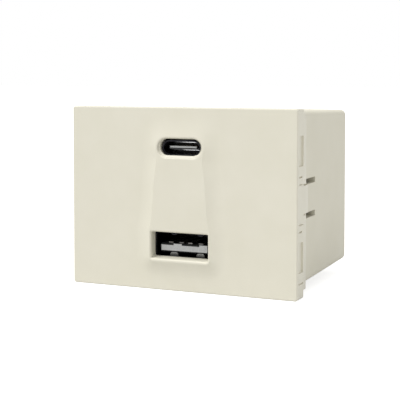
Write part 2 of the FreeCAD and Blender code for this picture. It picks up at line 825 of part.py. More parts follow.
def usb_c_shell():
    """Drawn steel tube with round ends and four board legs."""
    half = c_shell_width / 2
    tube = stadium(c_shell_width, c_shell_height, c_centre_z, c_shell_front, c_shell_rear)
    legs = shell_legs(half, c_leg_places_y, port_bottom - lead_tail, c_centre_z)
    hollow = stadium(c_shell_width - 2 * shell_sheet, c_shell_height - 2 * shell_sheet, c_centre_z,
                     c_shell_front - overcut, c_shell_rear + overcut)
    return join([tube] + legs).cut(hollow)


def usb_c_contacts():
    """Two rows of strips, flush with the upper and lower faces of the tongue."""
    strips = []
    first = -c_contact_pitch * (c_contact_count - 1) / 2
    half = c_contact_width / 2
    for index in range(c_contact_count):
        x = first + c_contact_pitch * index
        for way in (-1, 1):
            face = c_centre_z + way * c_tongue_thickness / 2
            low, high = sorted((face, face - way * c_contact_sheet))
            strips.append(box(x - half, x + half, c_tongue_front + c_contact_recess, c_shell_rear,
                              low, high))
    return Part.makeCompound(strips)


def c_contact_beds():
    """The shallow bed in each face of the tongue and base in which a row of strips lies."""
    row_half = (c_contact_pitch * (c_contact_count - 1) + c_contact_width) / 2 + contact_clearance
    beds = []
    for way in (-1, 1):
        face = c_centre_z + way * c_tongue_thickness / 2
        low, high = sorted((face, face - way * (c_contact_sheet + contact_clearance)))
        beds.append(box(-row_half, row_half, c_tongue_front + c_contact_recess - contact_clearance,
                        c_shell_rear, low, high))
    return beds


def c_mid_plate_shape(grow):
    """Flat plate in the middle of the tongue."""
    half = c_mid_plate_width / 2 + grow
    sheet = c_mid_plate_sheet / 2 + grow
    front = c_tongue_front + c_contact_recess / 2 - grow
    return box(-half, half, front, front + c_mid_plate_length + 2 * grow,
               c_centre_z - sheet, c_centre_z + sheet)


def usb_c_insulator():
    """Base that fills the rear of the shell, with the thin tongue in front."""
    base = stadium(c_shell_width - 2 * shell_sheet - base_clearance,
                   c_shell_height - 2 * shell_sheet - 2 * contact_clearance,
                   c_centre_z, c_shell_rear - c_base_length, c_shell_rear)
    tongue = box(-c_tongue_width / 2, c_tongue_width / 2, c_tongue_front,
                 c_shell_rear - c_base_length / 2, c_centre_z - c_tongue_thickness / 2,
                 c_centre_z + c_tongue_thickness / 2)
    tip = [edge for edge in flat_edges(tongue, c_tongue_front)
           if edge.BoundBox.ZLength > edge.BoundBox.XLength]
    tongue = tongue.makeFillet(c_tongue_recess / 2, tip)
    return join([base, tongue]).cut(c_contact_beds() + [c_mid_plate_shape(contact_clearance)])


def board_holes(places, width, z_low, z_high):
    """Square holes that clear a set of leads."""
    return posts(places, width + 2 * lead_clearance, z_low - overcut, z_high + overcut)


def leg_holes(half_width, places_y, z_low, z_high):
    """Slots that clear the legs of a receptacle shell."""
    grow = lead_clearance
    holes = []
    for y in places_y:
        hole = box(half_width - shell_sheet - grow, half_width + grow, y - leg_width / 2 - grow,
                   y + leg_width / 2 + grow, z_low - overcut, z_high + overcut)
        holes += [hole, mirrored(hole)]
    return holes


def transformer_pins():
    """Pin places in two rows, under the bobbin's rails."""
    places = []
    for y in (rail_front_y, rail_rear_y):
        for index in range(transformer_pin_count):
            places.append((-pin_span / 2 + transformer_pin_pitch * index, y))
    return places


def power_board():
    """Lower board: wide beside the USB-A receptacle, narrow between the terminals."""
    low, high = power_bottom, power_top
    wide = box(-power_board_half_width, power_board_half_width, power_board_front,
               power_board_shoulder, low, high)
    narrow = box(-power_board_tail_half_width, power_board_tail_half_width, power_board_shoulder,
                 power_board_rear, low, high)
    leads = (input_capacitor_leads + choke_leads + fuse_lead_places + varistor_leads
             + y_capacitor_leads + transformer_pins())
    leads += [(-busbar_leg_x, busbar_mid_y), (busbar_leg_x, busbar_mid_y)]
    holes = board_holes(leads, lead_width, low, high)
    holes += board_holes(link_places, link_pin_width, low, high)
    holes += board_holes(a_tail_places, a_contact_sheet, low, high)
    holes += leg_holes(a_shell_width / 2, leg_places_y, low, high)
    return join([wide, narrow]).cut(holes)


def port_board():
    """Upper board, under the USB-C receptacle."""
    low, high = port_bottom, port_top
    board = box(-port_board_half_width, port_board_half_width, port_board_front, port_board_rear,
                low, high)
    holes = board_holes(link_places, link_pin_width, low, high)
    holes += leg_holes(c_shell_width / 2, c_leg_places_y, low, high)
    return board.cut(holes)


def board_link_pins():
    """Header pins that join the two boards, one solid each."""
    low = power_bottom - lead_tail
    high = port_top + lead_tail
    return Part.makeCompound(posts(link_places, link_pin_width, low, high))


def isolation_barrier():
    """Thin sheet that stands between the mains side and the USB-A receptacle."""
    return box(barrier_x - barrier_sheet / 2, barrier_x + barrier_sheet / 2, power_board_front,
               a_shell_rear + barrier_overhang, power_top, port_bottom)


def core_half(y_back, y_joint):
    """One E-shaped half of the ferrite core, its back at y_back and its legs ending at y_joint."""
    way = 1 if y_joint > y_back else -1
    half = core_width / 2
    low = core_centre_z - core_thickness / 2
    high = core_centre_z + core_thickness / 2
    y_low, y_high = sorted((y_back, y_joint))
    block = box(-half, half, y_low, y_high, low, high)
    y_window = sorted((y_back + way * core_back, y_joint + way * overcut))
    window = box(core_centre_leg / 2, half - core_leg, y_window[0], y_window[1],
                 low - overcut, high + overcut)
    return block.cut([window, mirrored(window)])


def transformer_bobbin():
    """Square tube on the centre leg, with a flange and a pin rail at each end."""
    clear = bobbin_clearance
    inner_x = core_centre_leg / 2 + clear
    inner_z = core_thickness / 2 + clear
    y_low = core_front + core_back + clear
    y_high = core_rear - core_back - clear
    flange_x = core_width / 2 - core_leg - clear
    flange_z = inner_z + bobbin_wall + winding_build
    tube = box(-inner_x - bobbin_wall, inner_x + bobbin_wall, y_low, y_high,
               core_centre_z - inner_z - bobbin_wall, core_centre_z + inner_z + bobbin_wall)
    shapes = [tube]
    for y in (y_low, y_high - bobbin_flange):
        shapes.append(box(-flange_x, flange_x, y, y + bobbin_flange,
                          core_centre_z - flange_z, core_centre_z + flange_z))
    rail_top = core_centre_z - core_thickness / 2 - clear
    rail_half = pin_span / 2 + lead_width
    rail_low = power_top
    front_rail = box(-rail_half, rail_half, rail_front_y - bobbin_rail_length / 2,
                     y_low + bobbin_flange, rail_low, rail_top)
    rear_rail = box(-rail_half, rail_half, y_high - bobbin_flange,
                    rail_rear_y + bobbin_rail_length / 2, rail_low, rail_top)
    pins = posts(transformer_pins(), lead_width, power_bottom - lead_tail, power_top + sink)
    centre = box(-inner_x, inner_x, y_low - overcut, y_high + overcut, core_centre_z - inner_z,
                 core_centre_z + inner_z)
    return join(shapes + [front_rail, rear_rail] + pins).cut(centre)


def transformer_winding():
    """Taped winding that fills the bobbin between its flanges."""
    clear = bobbin_clearance
    inner_x = core_centre_leg / 2 + clear + bobbin_wall
    inner_z = core_thickness / 2 + clear + bobbin_wall
    outer_x = core_width / 2 - core_leg - 2 * clear
    outer_z = inner_z + winding_build - winding_margin
    y_low = core_front + core_back + clear + bobbin_flange
    y_high = core_rear - core_back - clear - bobbin_flange
    outer = rounded_block(-outer_x, outer_x, core_centre_z - outer_z, core_centre_z + outer_z,
                          winding_radius, y_low, y_high)
    return outer.cut(box(-inner_x, inner_x, y_low - overcut, y_high + overcut, core_centre_z - inner_z,
                         core_centre_z + inner_z))


def turned(points, place):
    """A solid turned about an upright axis at a place on a board, from (radius, height) points."""
    profile = [V(radius, 0, power_top + height) for radius, height in points]
    solid = Part.Face(Part.makePolygon(profile + profile[:1])).revolve(V(0, 0, 0), V(0, 0, 1), 360)
    return solid.translated(V(place[0], place[1], 0))


def input_capacitor(place):
    """Aluminium can on two leads."""
    can = turned([(0, 0), (input_capacitor_radius, 0), (input_capacitor_radius, input_capacitor_height),
                  (0, input_capacitor_height)], place)
    leads = posts(pair_along_x(place, input_capacitor_lead_pitch), lead_width,
                  power_bottom - lead_tail, power_top + sink)
    return join([can] + leads)


def output_capacitor(place):
    """Low can on a square plastic foot."""
    foot_side = 2 * (output_capacitor_radius + output_capacitor_margin)
    foot = block_on(place, (foot_side, foot_side, output_capacitor_base), port_top)
    x, y = place
    can = rod(output_capacitor_radius, V(x, y, port_top + output_capacitor_base / 2),
              V(x, y, port_top + output_capacitor_height))
    return join([foot, can])


def input_choke():
    """Drum core with a wound waist, on two leads."""
    core, waist, height = choke_core_radius, choke_waist_radius, choke_height
    drum = turned([(0, 0), (core, 0), (core, choke_flange), (waist, choke_flange),
                   (waist, height - choke_flange), (core, height - choke_flange), (core, height),
                   (0, height)], choke_place)
    leads = posts(choke_leads, lead_width, power_bottom - lead_tail, power_top + sink)
    return join([drum] + leads)


def fusible_resistor():
    """Round body lying along X, its two leads bent down through the board."""
    x, y = fuse_place
    z = power_top + fuse_radius
    half = fuse_length / 2
    body = rod(fuse_radius, V(x - half, y, z), V(x + half, y, z))
    bends = [box(x - half - fuse_lead_reach - lead_width / 2, x + half + fuse_lead_reach + lead_width / 2,
                 y - lead_width / 2, y + lead_width / 2, z - lead_width / 2, z + lead_width / 2)]
    leads = posts(fuse_lead_places, lead_width, power_bottom - lead_tail, z)
    return join([body] + bends + leads)


def disc_component(radius, thickness, place, lead_places, along):
    """Coated disc standing on two leads; along is the way its flat faces point."""
    x, y = place
    z = power_top + disc_stand + radius
    centre = V(x, y, z)
    offset = V(along).multiply(thickness / 2)
    disc = rod(radius, centre.sub(offset), centre.add(offset))
    leads = posts(lead_places, lead_width, power_bottom - lead_tail, z)
    return join([disc] + leads)


def chip(place, size, z_low, pin_count):
    """Moulded chip with a row of flat legs on each of two sides."""
    length, depth, height = size
    body = block_on(place, (length - 2 * chip_foot, depth, height), z_low)
    pitch = depth / pin_count
    shapes = [body]
    for index in range(pin_count):
        y = place[1] - depth / 2 + pitch * (index + 0.5)
        shapes.append(block_on((place[0], y), (length, pitch / 2, height / 3), z_low))
    return join(shapes)


def output_inductor():
    """Shielded power inductor with cut corners and a round dish on top."""
    x, y = inductor_place
    top = power_top + inductor_height
    body = block_on(inductor_place, (inductor_side, inductor_side, inductor_height), power_top)
    upright = [edge for edge in body.Edges if abs(edge.BoundBox.ZLength - inductor_height) < tiny]
    body = body.makeChamfer(inductor_corner, upright)
    dish = rod(inductor_side / 2 - inductor_corner, V(x, y, top - inductor_dish),
               V(x, y, top + overcut))
    return body.cut(dish)


def chip_row(x, y, count):
    """A row of small chip parts along X, one solid each."""
    size = (chip_part_length, chip_part_depth, chip_part_height)
    return Part.makeCompound([block_on((x + chip_row_pitch * index, y), size, port_top)
                              for index in range(count)])


def busbar():
    """Right-hand stamped plate: tongue in the cage, bridge over the rib, leg down to the board."""
    y_low, y_high = busbar_front, busbar_rear
    bridge_high = bridge_low + busbar_bridge_height
    tongue = box(terminal_x - busbar_width / 2, terminal_x + busbar_width / 2, y_low, y_high,
                 bridge_low - busbar_tongue_length, bridge_high)
    leg_inner = busbar_leg_x - busbar_leg_width / 2
    bridge = box(leg_inner, busbar_end_x, y_low, y_high, bridge_low, bridge_high)
    leg = box(leg_inner, leg_inner + busbar_leg_width, y_low, y_high, power_top, bridge_high)
    tail = posts([(busbar_leg_x, busbar_mid_y)], lead_width, power_bottom - lead_tail, power_top + sink)
    return join([tongue, bridge, leg] + tail)


def cage():
    """Right-hand rising clamp: a bent loop round the busbar with a thick threaded rear wall."""
    low = terminal_z - cage_height / 2
    x_low = terminal_x - cage_half_width
    x_high = terminal_x + cage_half_width
    outer = box(x_low, x_high, cage_front, cage_rear, low, cage_top)
    corners = [edge for edge in outer.Edges if abs(edge.BoundBox.ZLength - cage_height) < tiny]
    outer = outer.makeFillet(cage_sheet, corners)
    window = box(x_low + cage_sheet, x_high - cage_sheet, cage_front + cage_sheet, cage_nut_front,
                 low - overcut, cage_top + overcut)
    thread = rod(screw_radius + screw_thread_clearance, V(terminal_x, cage_nut_front - overcut, terminal_z),
                 V(terminal_x, cage_rear + overcut, terminal_z))
    return outer.cut([window, thread])


def terminal_screw():
    """Right-hand screw: shank up to the busbar, flat head with a driver slot."""
    head = rod(screw_head_radius, V(terminal_x, screw_head_front, terminal_z),
               V(terminal_x, screw_head_rear, terminal_z))
    shank = rod(screw_radius, V(terminal_x, screw_tip, terminal_z),
                V(terminal_x, screw_head_front + sink, terminal_z))
    slot = box(terminal_x - 2 * screw_head_radius, terminal_x + 2 * screw_head_radius,
               screw_head_rear - screw_slot_depth, screw_head_rear + overcut,
               terminal_z - screw_slot_width / 2, terminal_z + screw_slot_width / 2)
    return join([head, shank]).cut(slot)


def main():
    """Write every node."""
    os.makedirs("parts", exist_ok=True)
    flat_chip = (flat_chip_length, flat_chip_depth, flat_chip_height)
    nodes = {
        "front_cover": front_cover(),
        "rear_housing": rear_housing(),
        "usb_a_shell": usb_a_shell(),
        "usb_a_insulator": usb_a_insulator(),
        "usb_a_contacts": usb_a_contacts(),
        "usb_c_shell": usb_c_shell(),
        "usb_c_insulator": usb_c_insulator(),
        "usb_c_contacts": usb_c_contacts(),
        "usb_c_mid_plate": c_mid_plate_shape(0.0),
        "power_board": power_board(),
        "port_board": port_board(),
        "board_link_pins": board_link_pins(),
        "isolation_barrier": isolation_barrier(),
        "transformer_core_front": core_half(core_front, core_joint),
        "transformer_core_rear": core_half(core_rear, core_joint),
        "transformer_bobbin": transformer_bobbin(),
        "transformer_winding": transformer_winding(),
        "input_choke": input_choke(),
        "fusible_resistor": fusible_resistor(),
        "varistor": disc_component(varistor_radius, varistor_thickness, varistor_place,
                                   varistor_leads, V(1, 0, 0)),
        "y_capacitor": disc_component(y_capacitor_radius, y_capacitor_thickness, y_capacitor_place,
                                      y_capacitor_leads, V(0, 1, 0)),
        "bridge_rectifier": chip(bridge_place, (bridge_length, bridge_depth, bridge_height),
                                 power_top, 2),
        "primary_controller": chip(primary_place, flat_chip, power_top, 4),
        "optocoupler": chip(optocoupler_place,
                            (optocoupler_length, optocoupler_depth, optocoupler_height),
                            power_top, 2),
        "usb_a_controller": chip(usb_a_controller_place,
                                 (usb_a_controller_side, usb_a_controller_side,
                                  usb_a_controller_height), power_top, 3),
        "output_inductor": output_inductor(),
        "sync_rectifier": chip((sync_x, sync_y), flat_chip, port_top, 4),
        "usb_c_controller": block_on((0.0, usb_c_controller_y),
                                     (usb_c_controller_side, usb_c_controller_side,
                                      usb_c_controller_height), port_top),
        "chip_resistors": chip_row(chip_resistor_x, chip_resistor_y, chip_resistor_count),
        "chip_capacitors": chip_row(chip_capacitor_x, chip_capacitor_y, chip_capacitor_count),
        "neutral_busbar": busbar(),
        "line_busbar": mirrored(busbar()),
        "neutral_cage": cage(),
        "line_cage": mirrored(cage()),
        "neutral_screw": terminal_screw(),
        "line_screw": mirrored(terminal_screw()),
    }
    for index, place in enumerate(input_capacitor_places):
        nodes["input_capacitor_%d" % (index + 1)] = input_capacitor(place)
    for index, place in enumerate(output_capacitor_places):
        nodes["output_capacitor_%d" % (index + 1)] = output_capacitor(place)
    for name, shape in nodes.items():
        save(name, shape)


main()
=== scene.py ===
import bpy
import math
import numpy as np
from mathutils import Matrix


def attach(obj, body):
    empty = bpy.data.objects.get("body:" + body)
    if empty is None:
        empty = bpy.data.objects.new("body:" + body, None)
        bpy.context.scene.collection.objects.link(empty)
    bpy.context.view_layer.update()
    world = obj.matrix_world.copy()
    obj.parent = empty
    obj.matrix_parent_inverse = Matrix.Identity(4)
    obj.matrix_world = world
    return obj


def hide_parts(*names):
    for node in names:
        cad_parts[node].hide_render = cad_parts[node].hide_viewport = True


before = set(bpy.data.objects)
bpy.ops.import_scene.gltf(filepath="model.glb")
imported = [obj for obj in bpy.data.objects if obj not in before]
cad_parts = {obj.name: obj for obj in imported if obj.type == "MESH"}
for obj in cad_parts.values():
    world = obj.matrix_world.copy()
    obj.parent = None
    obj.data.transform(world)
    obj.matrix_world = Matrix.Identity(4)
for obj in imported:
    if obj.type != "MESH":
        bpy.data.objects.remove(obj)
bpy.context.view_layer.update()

# Lengths are in millimetres until a mesh is made. X is to the right of someone facing the plate,
# Y goes into the wall and Z is up. The origin is the centre of the plate, behind its skirt.
MM = 0.001

# Plate, skirt and lip of the cover
PLATE_HALF = np.array([26.0, 19.5])
PLATE_CORNER = 0.5
PLATE_FRONT = -4.1
PLATE_BACK = -2.1
EDGE_ROUND = 0.25
SKIRT_ROUND = 0.08
LIP_HALF_WIDTH, LIP_LOW, LIP_HIGH = 25.5, -18.3, 19.15
LIP_CORNERS = [0.4, 0.4, 1.4, 1.4]
LIP_INNER_CORNER = 0.6
LIP_WALL = 1.0
LIP_DEPTH = 3.0
LIP_ROUND = 0.1

# Claw pockets and fine grooves of the short sides, mirrored above and below, and one low groove
POCKET = {"z": (7.8, 14.0), "y": (-3.2, -0.4), "depth": 0.35}
GROOVE_INNER = {"z": (3.95, 4.25), "y": (-2.9, 1.0), "depth": 0.3}
GROOVE_OUTER = {"z": (5.45, 5.75), "y": (-3.1, -1.1), "depth": 0.3}
GROOVE_LOW = {"z": (-16.4, -16.1), "y": (-3.1, -0.2), "depth": 0.25}

# The snap tongue, with a slit on either side that stops short of the skirt
TONGUE_LOW, TONGUE_HIGH, TONGUE_REACH, TONGUE_SLIT = -2.35, 3.55, 4.2, 0.3
SLIT_END = 0.15

# Ports, from the front: a rim rounded over an inset and a depth, which starts a reach outside its
# size, then a lead-in that narrows evenly down to a depth, and a wider seat that clears the shell
RIM_REACH = 0.2
C_CENTRE, C_HALF_WIDTH, C_HALF_HEIGHT = 10.93, 5.2, 2.175
C_RIM = {"low": 8.8, "high": 13.12, "round": 0.3, "deep": 0.4}
C_TUNNEL = {"half_width": 4.74, "low": 9.34, "high": 12.86, "depth": 0.87}
C_SEAT = {"half_width": 4.88, "low": 9.1, "high": 13.0, "depth": 0.93}
A_CENTRE, A_HALF_WIDTH, A_HALF_HEIGHT, A_CORNER = -9.9, 6.75, 3.1, 0.4
A_RIM = {"low": -12.85, "high": -6.82, "round": 0.4, "deep": 0.6}
A_MOUTH = {"half_width": 6.6, "low": -12.4, "high": -7.1, "depth": 2.1}
A_SEAT = {"half_width": 6.72, "low": -12.85, "high": -6.95, "front": -2.55}

# The wedge: its height, how far its flat front stands past the ports, its corners' radii, how far
# its slopes run out, and the height where the grids round the two ports meet
WEDGE_HEIGHT = 0.75
WEDGE_MARGIN, WEDGE_SIDE_MARGIN = 0.3, 0.25
WEDGE_FOOT_RADIUS, WEDGE_KNEE_RADIUS = 0.9, 3.0
WEDGE_FLARE = 3.6
WEDGE_SPLIT = 0.5
# Its waist: a share off the half width by a smooth step up from the knee, more by a second step,
# and both gone again by a third, beside the upper port
WAIST_KNEE = {"share": 0.055, "below_knee": 0.7, "over": 4.0}
WAIST_HIGH = {"share": 0.04, "from": 4.0, "over": 4.5}
WAIST_END = {"above_port": 0.3, "over": 3.0}
# Its top: from a height on the flat front falls back, by the loss at the height plus the span, and
# the slopes run out further
WEDGE_TOP = {"from": 4.0, "span": 10.0, "loss": 0.3, "flare": 1.5}
# How sharp the crease at its flat front is: the curve stays this far from the two planes
WEDGE_CREASE = 0.006

# The cover is sampled round its centre at whole multiples of this angle, in radians
ANGLE_STEP = 4e-4

# Terminal screws
SCREW_X, SCREW_Z = 18.2, -9.0
SCREW_TIP, HEAD_FRONT, HEAD_REAR = 21.83, 30.1, 32.1
SHANK_RADIUS, HEAD_RADIUS, HEAD_CHAMFER = 1.5, 2.3, 0.12
THREAD_PITCH, THREAD_DEPTH, THREAD_RUN_OUT = 0.5, 0.27, 0.3
TIP_CHAMFER = {"radius": 0.25, "length": 0.1}
SLOT_HALF, SLOT_DEPTH = 0.4, 1.1

# The floor lies this far under the plate, so that the two faces never share a plane, and reaches
# this far each way
FLOOR_GAP, FLOOR_REACH = 0.02, 3000.0
# Light: what the surroundings give, what the floor adds to a camera's rays, and one lamp, whose
# angles are its breadth, its lean off straight down and its turn, in degrees
SKY_LIGHT, FLOOR_GLOW = 0.74, 0.75
LAMP = {"energy": 2.0, "breadth": 30, "lean": 26.6, "turn": -43}


def linear(code):
    """An sRGB hex code as a linear colour.

    Each channel c is c / 12.92 near black, else ((c + 0.055) / 1.055) to the power of 2.4.
    """
    value = np.array([int(code[i:i + 2], 16) for i in (0, 2, 4)]) / 255.0
    value = np.where(value <= 0.04045, value / 12.92, ((value + 0.055) / 1.055) ** 2.4)
    return (*[float(v) for v in value], 1.0)


def mesh_piece(name, points, quads, sharp=38.0):
    """A mesh from points in millimetres and four-cornered faces; a face with two equal corners
    in a row becomes a triangle."""
    quads = np.asarray(quads)
    keep = quads != np.roll(quads, -1, axis=1)
    totals = keep.sum(1)
    quads, keep, totals = quads[totals > 2], keep[totals > 2], totals[totals > 2]
    loops = quads[keep]
    starts = np.concatenate([[0], np.cumsum(totals)[:-1]])
    mesh = bpy.data.meshes.new(name)
    mesh.vertices.add(len(points))
    mesh.vertices.foreach_set("co", (np.asarray(points) * MM).astype(np.float32).ravel())
    mesh.loops.add(len(loops))
    mesh.loops.foreach_set("vertex_index", loops.astype(np.int32))
    mesh.polygons.add(len(totals))
    mesh.polygons.foreach_set("loop_start", starts.astype(np.int32))
    mesh.polygons.foreach_set("loop_total", totals.astype(np.int32))
    mesh.update(calc_edges=True)
    mesh.validate()
    mesh.shade_smooth()
    mesh.set_sharp_from_angle(angle=math.radians(sharp))
    piece = bpy.data.objects.new(name, mesh)
    bpy.context.scene.collection.objects.link(piece)
    return piece


def strip(rows, closed):
    """Faces between each row of vertex numbers and the next, round a loop or along an open line."""
    rows = np.asarray(rows)
    ahead = np.roll(rows, -1, axis=1) if closed else rows[:, 1:]
    here = rows if closed else rows[:, :-1]
    return np.stack([here[:-1], ahead[:-1], ahead[1:], here[1:]], axis=-1).reshape(-1, 4)


def rounded_loop(corners, radii, samples=160):
    """Dense points and outward normals of a convex outline, anticlockwise, its corners arcs.

    Each corner turns from one side's normal to the next along an arc of its radius, whose centre
    lies where both sides moved in by the radius meet. Straight sides join the arcs' ends.
    """
    corners = np.asarray(corners, float)
    radii = np.asarray(radii, float)[:, None]
    way = np.roll(corners, -1, axis=0) - corners
    way /= np.linalg.norm(way, axis=1)[:, None]
    normal = np.stack([way[:, 1], -way[:, 0]], axis=1)
    before = np.roll(normal, 1, axis=0)
    both = before + normal
    centre = corners - both * radii * 2 / (both ** 2).sum(1)[:, None]
    start = np.arctan2(before[:, 1], before[:, 0])
    turn = np.mod(np.arctan2(normal[:, 1], normal[:, 0]) - start, 2 * np.pi)
    share = np.linspace(0, 1, samples)
    angle = start[:, None] + turn[:, None] * share
    facing = np.stack([np.cos(angle), np.sin(angle)], axis=-1)
    arc = centre[:, None, :] + radii[:, None, :] * facing
    blend = np.linspace(0, 1, samples)[1:-1, None]
    ends, nexts = arc[:, -1][:, None, :], np.roll(arc[:, 0], -1, axis=0)[:, None, :]
    side = ends + (nexts - ends) * blend
    side_facing = np.repeat(normal[:, None, :], len(blend), axis=1)
    points = np.concatenate([arc, side], axis=1).reshape(-1, 2)
    facing = np.concatenate([facing, side_facing], axis=1).reshape(-1, 2)
    return points, facing


def rectangle(half_width, low, high):
    """Corners of a rectangle centred on X, anticlockwise from its lower left."""
    return [(-half_width, low), (half_width, low), (half_width, high), (-half_width, high)]


def along_ray(table, angles, centre=(0.0, 0.0)):
    """Columns of a dense loop, read where a ray from the centre at each angle meets the loop."""
    points = table[:, :2] - np.asarray(centre)
    around = np.unwrap(np.arctan2(points[:, 1], points[:, 0]))
    around = np.concatenate([around - 2 * np.pi, around, around + 2 * np.pi])
    values = np.concatenate([table] * 3)
    base = around[len(points)]
    wanted = base + np.mod(np.asarray(angles) - base, 2 * np.pi)
    return np.stack([np.interp(wanted, around, column) for column in values.T], axis=-1)


def ramp(value, low, high, soft=0.03):
    """1 between two edges and 0 outside, each edge a short straight ramp."""
    return np.clip((value - low) / soft + 0.5, 0, 1) * np.clip((high - value) / soft + 0.5, 0, 1)


def edge_pair(*values, soft=0.03):
    """Grid lines just before and just after each edge."""
    values = np.asarray(values, float)
    return np.concatenate([values - soft / 2, values + soft / 2])


def quarter(radius, count=6):
    """A rounded edge: how far it lies inside the outline and how far behind the face, by angle."""
    angle = np.linspace(0, np.pi / 2, count)
    return radius * (1 - np.sin(angle)), radius * (1 - np.cos(angle))


def ease(share):
    """A smooth step: 3 s squared less 2 s cubed, s being the share held between 0 and 1."""
    share = np.clip(share, 0, 1)
    return share ** 2 * (3 - 2 * share)


def wedge_outline():
    """Outline of the flat front of the wedge that joins the two ports, with its outward normals.

    A six-cornered outline with rounded corners is drawn in between the ports by the waist, which
    comes and goes by smooth steps along Z.
    """
    c_half, a_half = C_HALF_WIDTH + WEDGE_SIDE_MARGIN, A_HALF_WIDTH + WEDGE_SIDE_MARGIN
    top = C_CENTRE + C_HALF_HEIGHT + WEDGE_MARGIN
    knee = A_CENTRE + A_HALF_HEIGHT + WEDGE_MARGIN
    foot = A_CENTRE - A_HALF_HEIGHT - WEDGE_MARGIN
    corners = [(-a_half, foot), (a_half, foot), (a_half, knee),
               (c_half, top), (-c_half, top), (-a_half, knee)]
    top_radius = C_HALF_HEIGHT + WEDGE_MARGIN
    points, _ = rounded_loop(corners, [WEDGE_FOOT_RADIUS, WEDGE_FOOT_RADIUS, WEDGE_KNEE_RADIUS,
                                       top_radius, top_radius, WEDGE_KNEE_RADIUS])
    z = points[:, 1]
    waist = (WAIST_KNEE["share"] * ease((z - knee + WAIST_KNEE["below_knee"]) / WAIST_KNEE["over"])
             + WAIST_HIGH["share"] * ease((z - WAIST_HIGH["from"]) / WAIST_HIGH["over"]))
    points[:, 0] *= 1 - waist * ease((C_CENTRE + WAIST_END["above_port"] - z) / WAIST_END["over"])
    along = np.roll(points, -1, axis=0) - np.roll(points, 1, axis=0)
    facing = np.stack([along[:, 1], -along[:, 0]], axis=1)
    return points, facing / np.linalg.norm(facing, axis=1)[:, None]


def wedge_rise(distance):
    """Height of the wedge over the plate at a distance outside its flat front.

    The slope is the height times (1 - distance / flare) squared. The crease between it and the flat
    front is a hyperbola: (gap - root of (gap squared + crease squared)) / 2, gap being how far the
    slope's parabola stands over the flat front.
    """
    slope = WEDGE_HEIGHT * np.clip(1 - distance / WEDGE_FLARE, 0, None) ** 2
    gap = slope - WEDGE_HEIGHT
    crease = 2 * WEDGE_CREASE
    return WEDGE_HEIGHT + (gap - np.sqrt(gap ** 2 + crease ** 2)) / 2 + WEDGE_CREASE


def wedge_loss(z):
    """How much lower the wedge's flat front is towards its top: the loss times the square of the
    share of the span that a point lies above where the fall starts."""
    return WEDGE_TOP["loss"] * (np.clip(z - WEDGE_TOP["from"], 0, None) / WEDGE_TOP["span"]) ** 2


def cover_angles(flare_table, wedge_points):
    """Angles round the plate's centre at which the cover is sampled: even ones, and more where a
    corner, a pocket's edge or a port's round end needs them."""
    def at(half, values):
        """Angles of points on the right side, at a half width and at heights."""
        return np.arctan2(np.asarray(values), half)

    side = np.concatenate([
        at(PLATE_HALF[0], edge_pair(*GROOVE_LOW["z"], *[s * v for v in (
            *POCKET["z"], *GROOVE_INNER["z"], *GROOVE_OUTER["z"]) for s in (-1, 1)])),
        at(LIP_HALF_WIDTH, edge_pair(TONGUE_LOW, TONGUE_HIGH, TONGUE_LOW - TONGUE_SLIT,
                                     TONGUE_HIGH + TONGUE_SLIT)),
    ])
    plate_corner = np.arctan2(PLATE_HALF[1], PLATE_HALF[0]) + np.linspace(-0.024, 0.024, 13)
    lip_corners = np.concatenate([at(LIP_HALF_WIDTH, z) + np.linspace(-0.05, 0.05, 11)
                                  for z in (LIP_LOW, LIP_HIGH)])
    flare_angle = np.unwrap(np.arctan2(flare_table[:, 1], flare_table[:, 0]))
    picks = []
    for centre, span in ((C_CENTRE, np.linspace(-0.75, 0.75, 61)),
                         (A_CENTRE, np.concatenate([s * 0.43 + np.linspace(-0.06, 0.06, 15)
                                                    for s in (-1, 1)]))):
        ray = np.unwrap(np.arctan2(wedge_points[:, 1] - centre, wedge_points[:, 0]))
        wanted = ray[0] + np.mod(span - ray[0], 2 * np.pi)
        picks.append(np.interp(wanted, ray, flare_angle))
    own = flare_angle[::9]
    right = np.concatenate([side, plate_corner, -plate_corner, lip_corners] + picks + [own])
    right = np.mod(right + np.pi, 2 * np.pi) - np.pi
    right = right[np.abs(right) < np.pi / 2]
    even = np.linspace(-np.pi / 2, np.pi / 2, 121)
    right = np.concatenate([right, even])
    angles = np.concatenate([right, np.pi - right])
    angles = np.mod(angles, 2 * np.pi)
    # angles nearer each other than a step become one
    steps = np.round(angles / ANGLE_STEP).astype(int) % round(2 * np.pi / ANGLE_STEP)
    return np.unique(steps) * ANGLE_STEP


def port_sections(face_y):
    """Each port's opening, from its rim to the plate's back, as a list of (half width, low, high,
    corner radius, depth)."""
    def rim(half_width, sizes, corner=None):
        """Quarter of an ellipse from the face into the port; with no corner the ends are round."""
        found = []
        for inset, behind in zip(*quarter(1.0, 8)):
            grow = RIM_REACH - sizes["round"] * (1 - inset)
            low, high = sizes["low"] - grow, sizes["high"] + grow
            radius = (high - low) / 2 - 1e-4 if corner is None else corner + grow
            found.append((half_width + grow, low, high, radius, face_y + sizes["deep"] * behind))
        return found

    def walls(cut, radius, *depths):
        """One opening at several depths."""
        if radius is None:
            radius = (cut["high"] - cut["low"]) / 2 - 1e-4
        return [(cut["half_width"], cut["low"], cut["high"], radius, y) for y in depths]

    back = [PLATE_BACK - 0.03, PLATE_BACK]
    c_front, c_step = face_y + C_TUNNEL["depth"], face_y + C_SEAT["depth"]
    a_front, a_step = face_y + A_MOUTH["depth"], A_SEAT["front"]
    return {
        "c": (rim(C_HALF_WIDTH, C_RIM) + walls(C_TUNNEL, None, c_front, c_front + 0.02, c_step)
              + walls(C_SEAT, None, c_step, c_step + 0.02, *back)),
        "a": (rim(A_HALF_WIDTH, A_RIM, A_CORNER)
              + walls(A_MOUTH, A_CORNER, a_front, a_front + 0.04, a_step)
              + walls(A_SEAT, A_CORNER + RIM_REACH, a_step, *back)),
    }


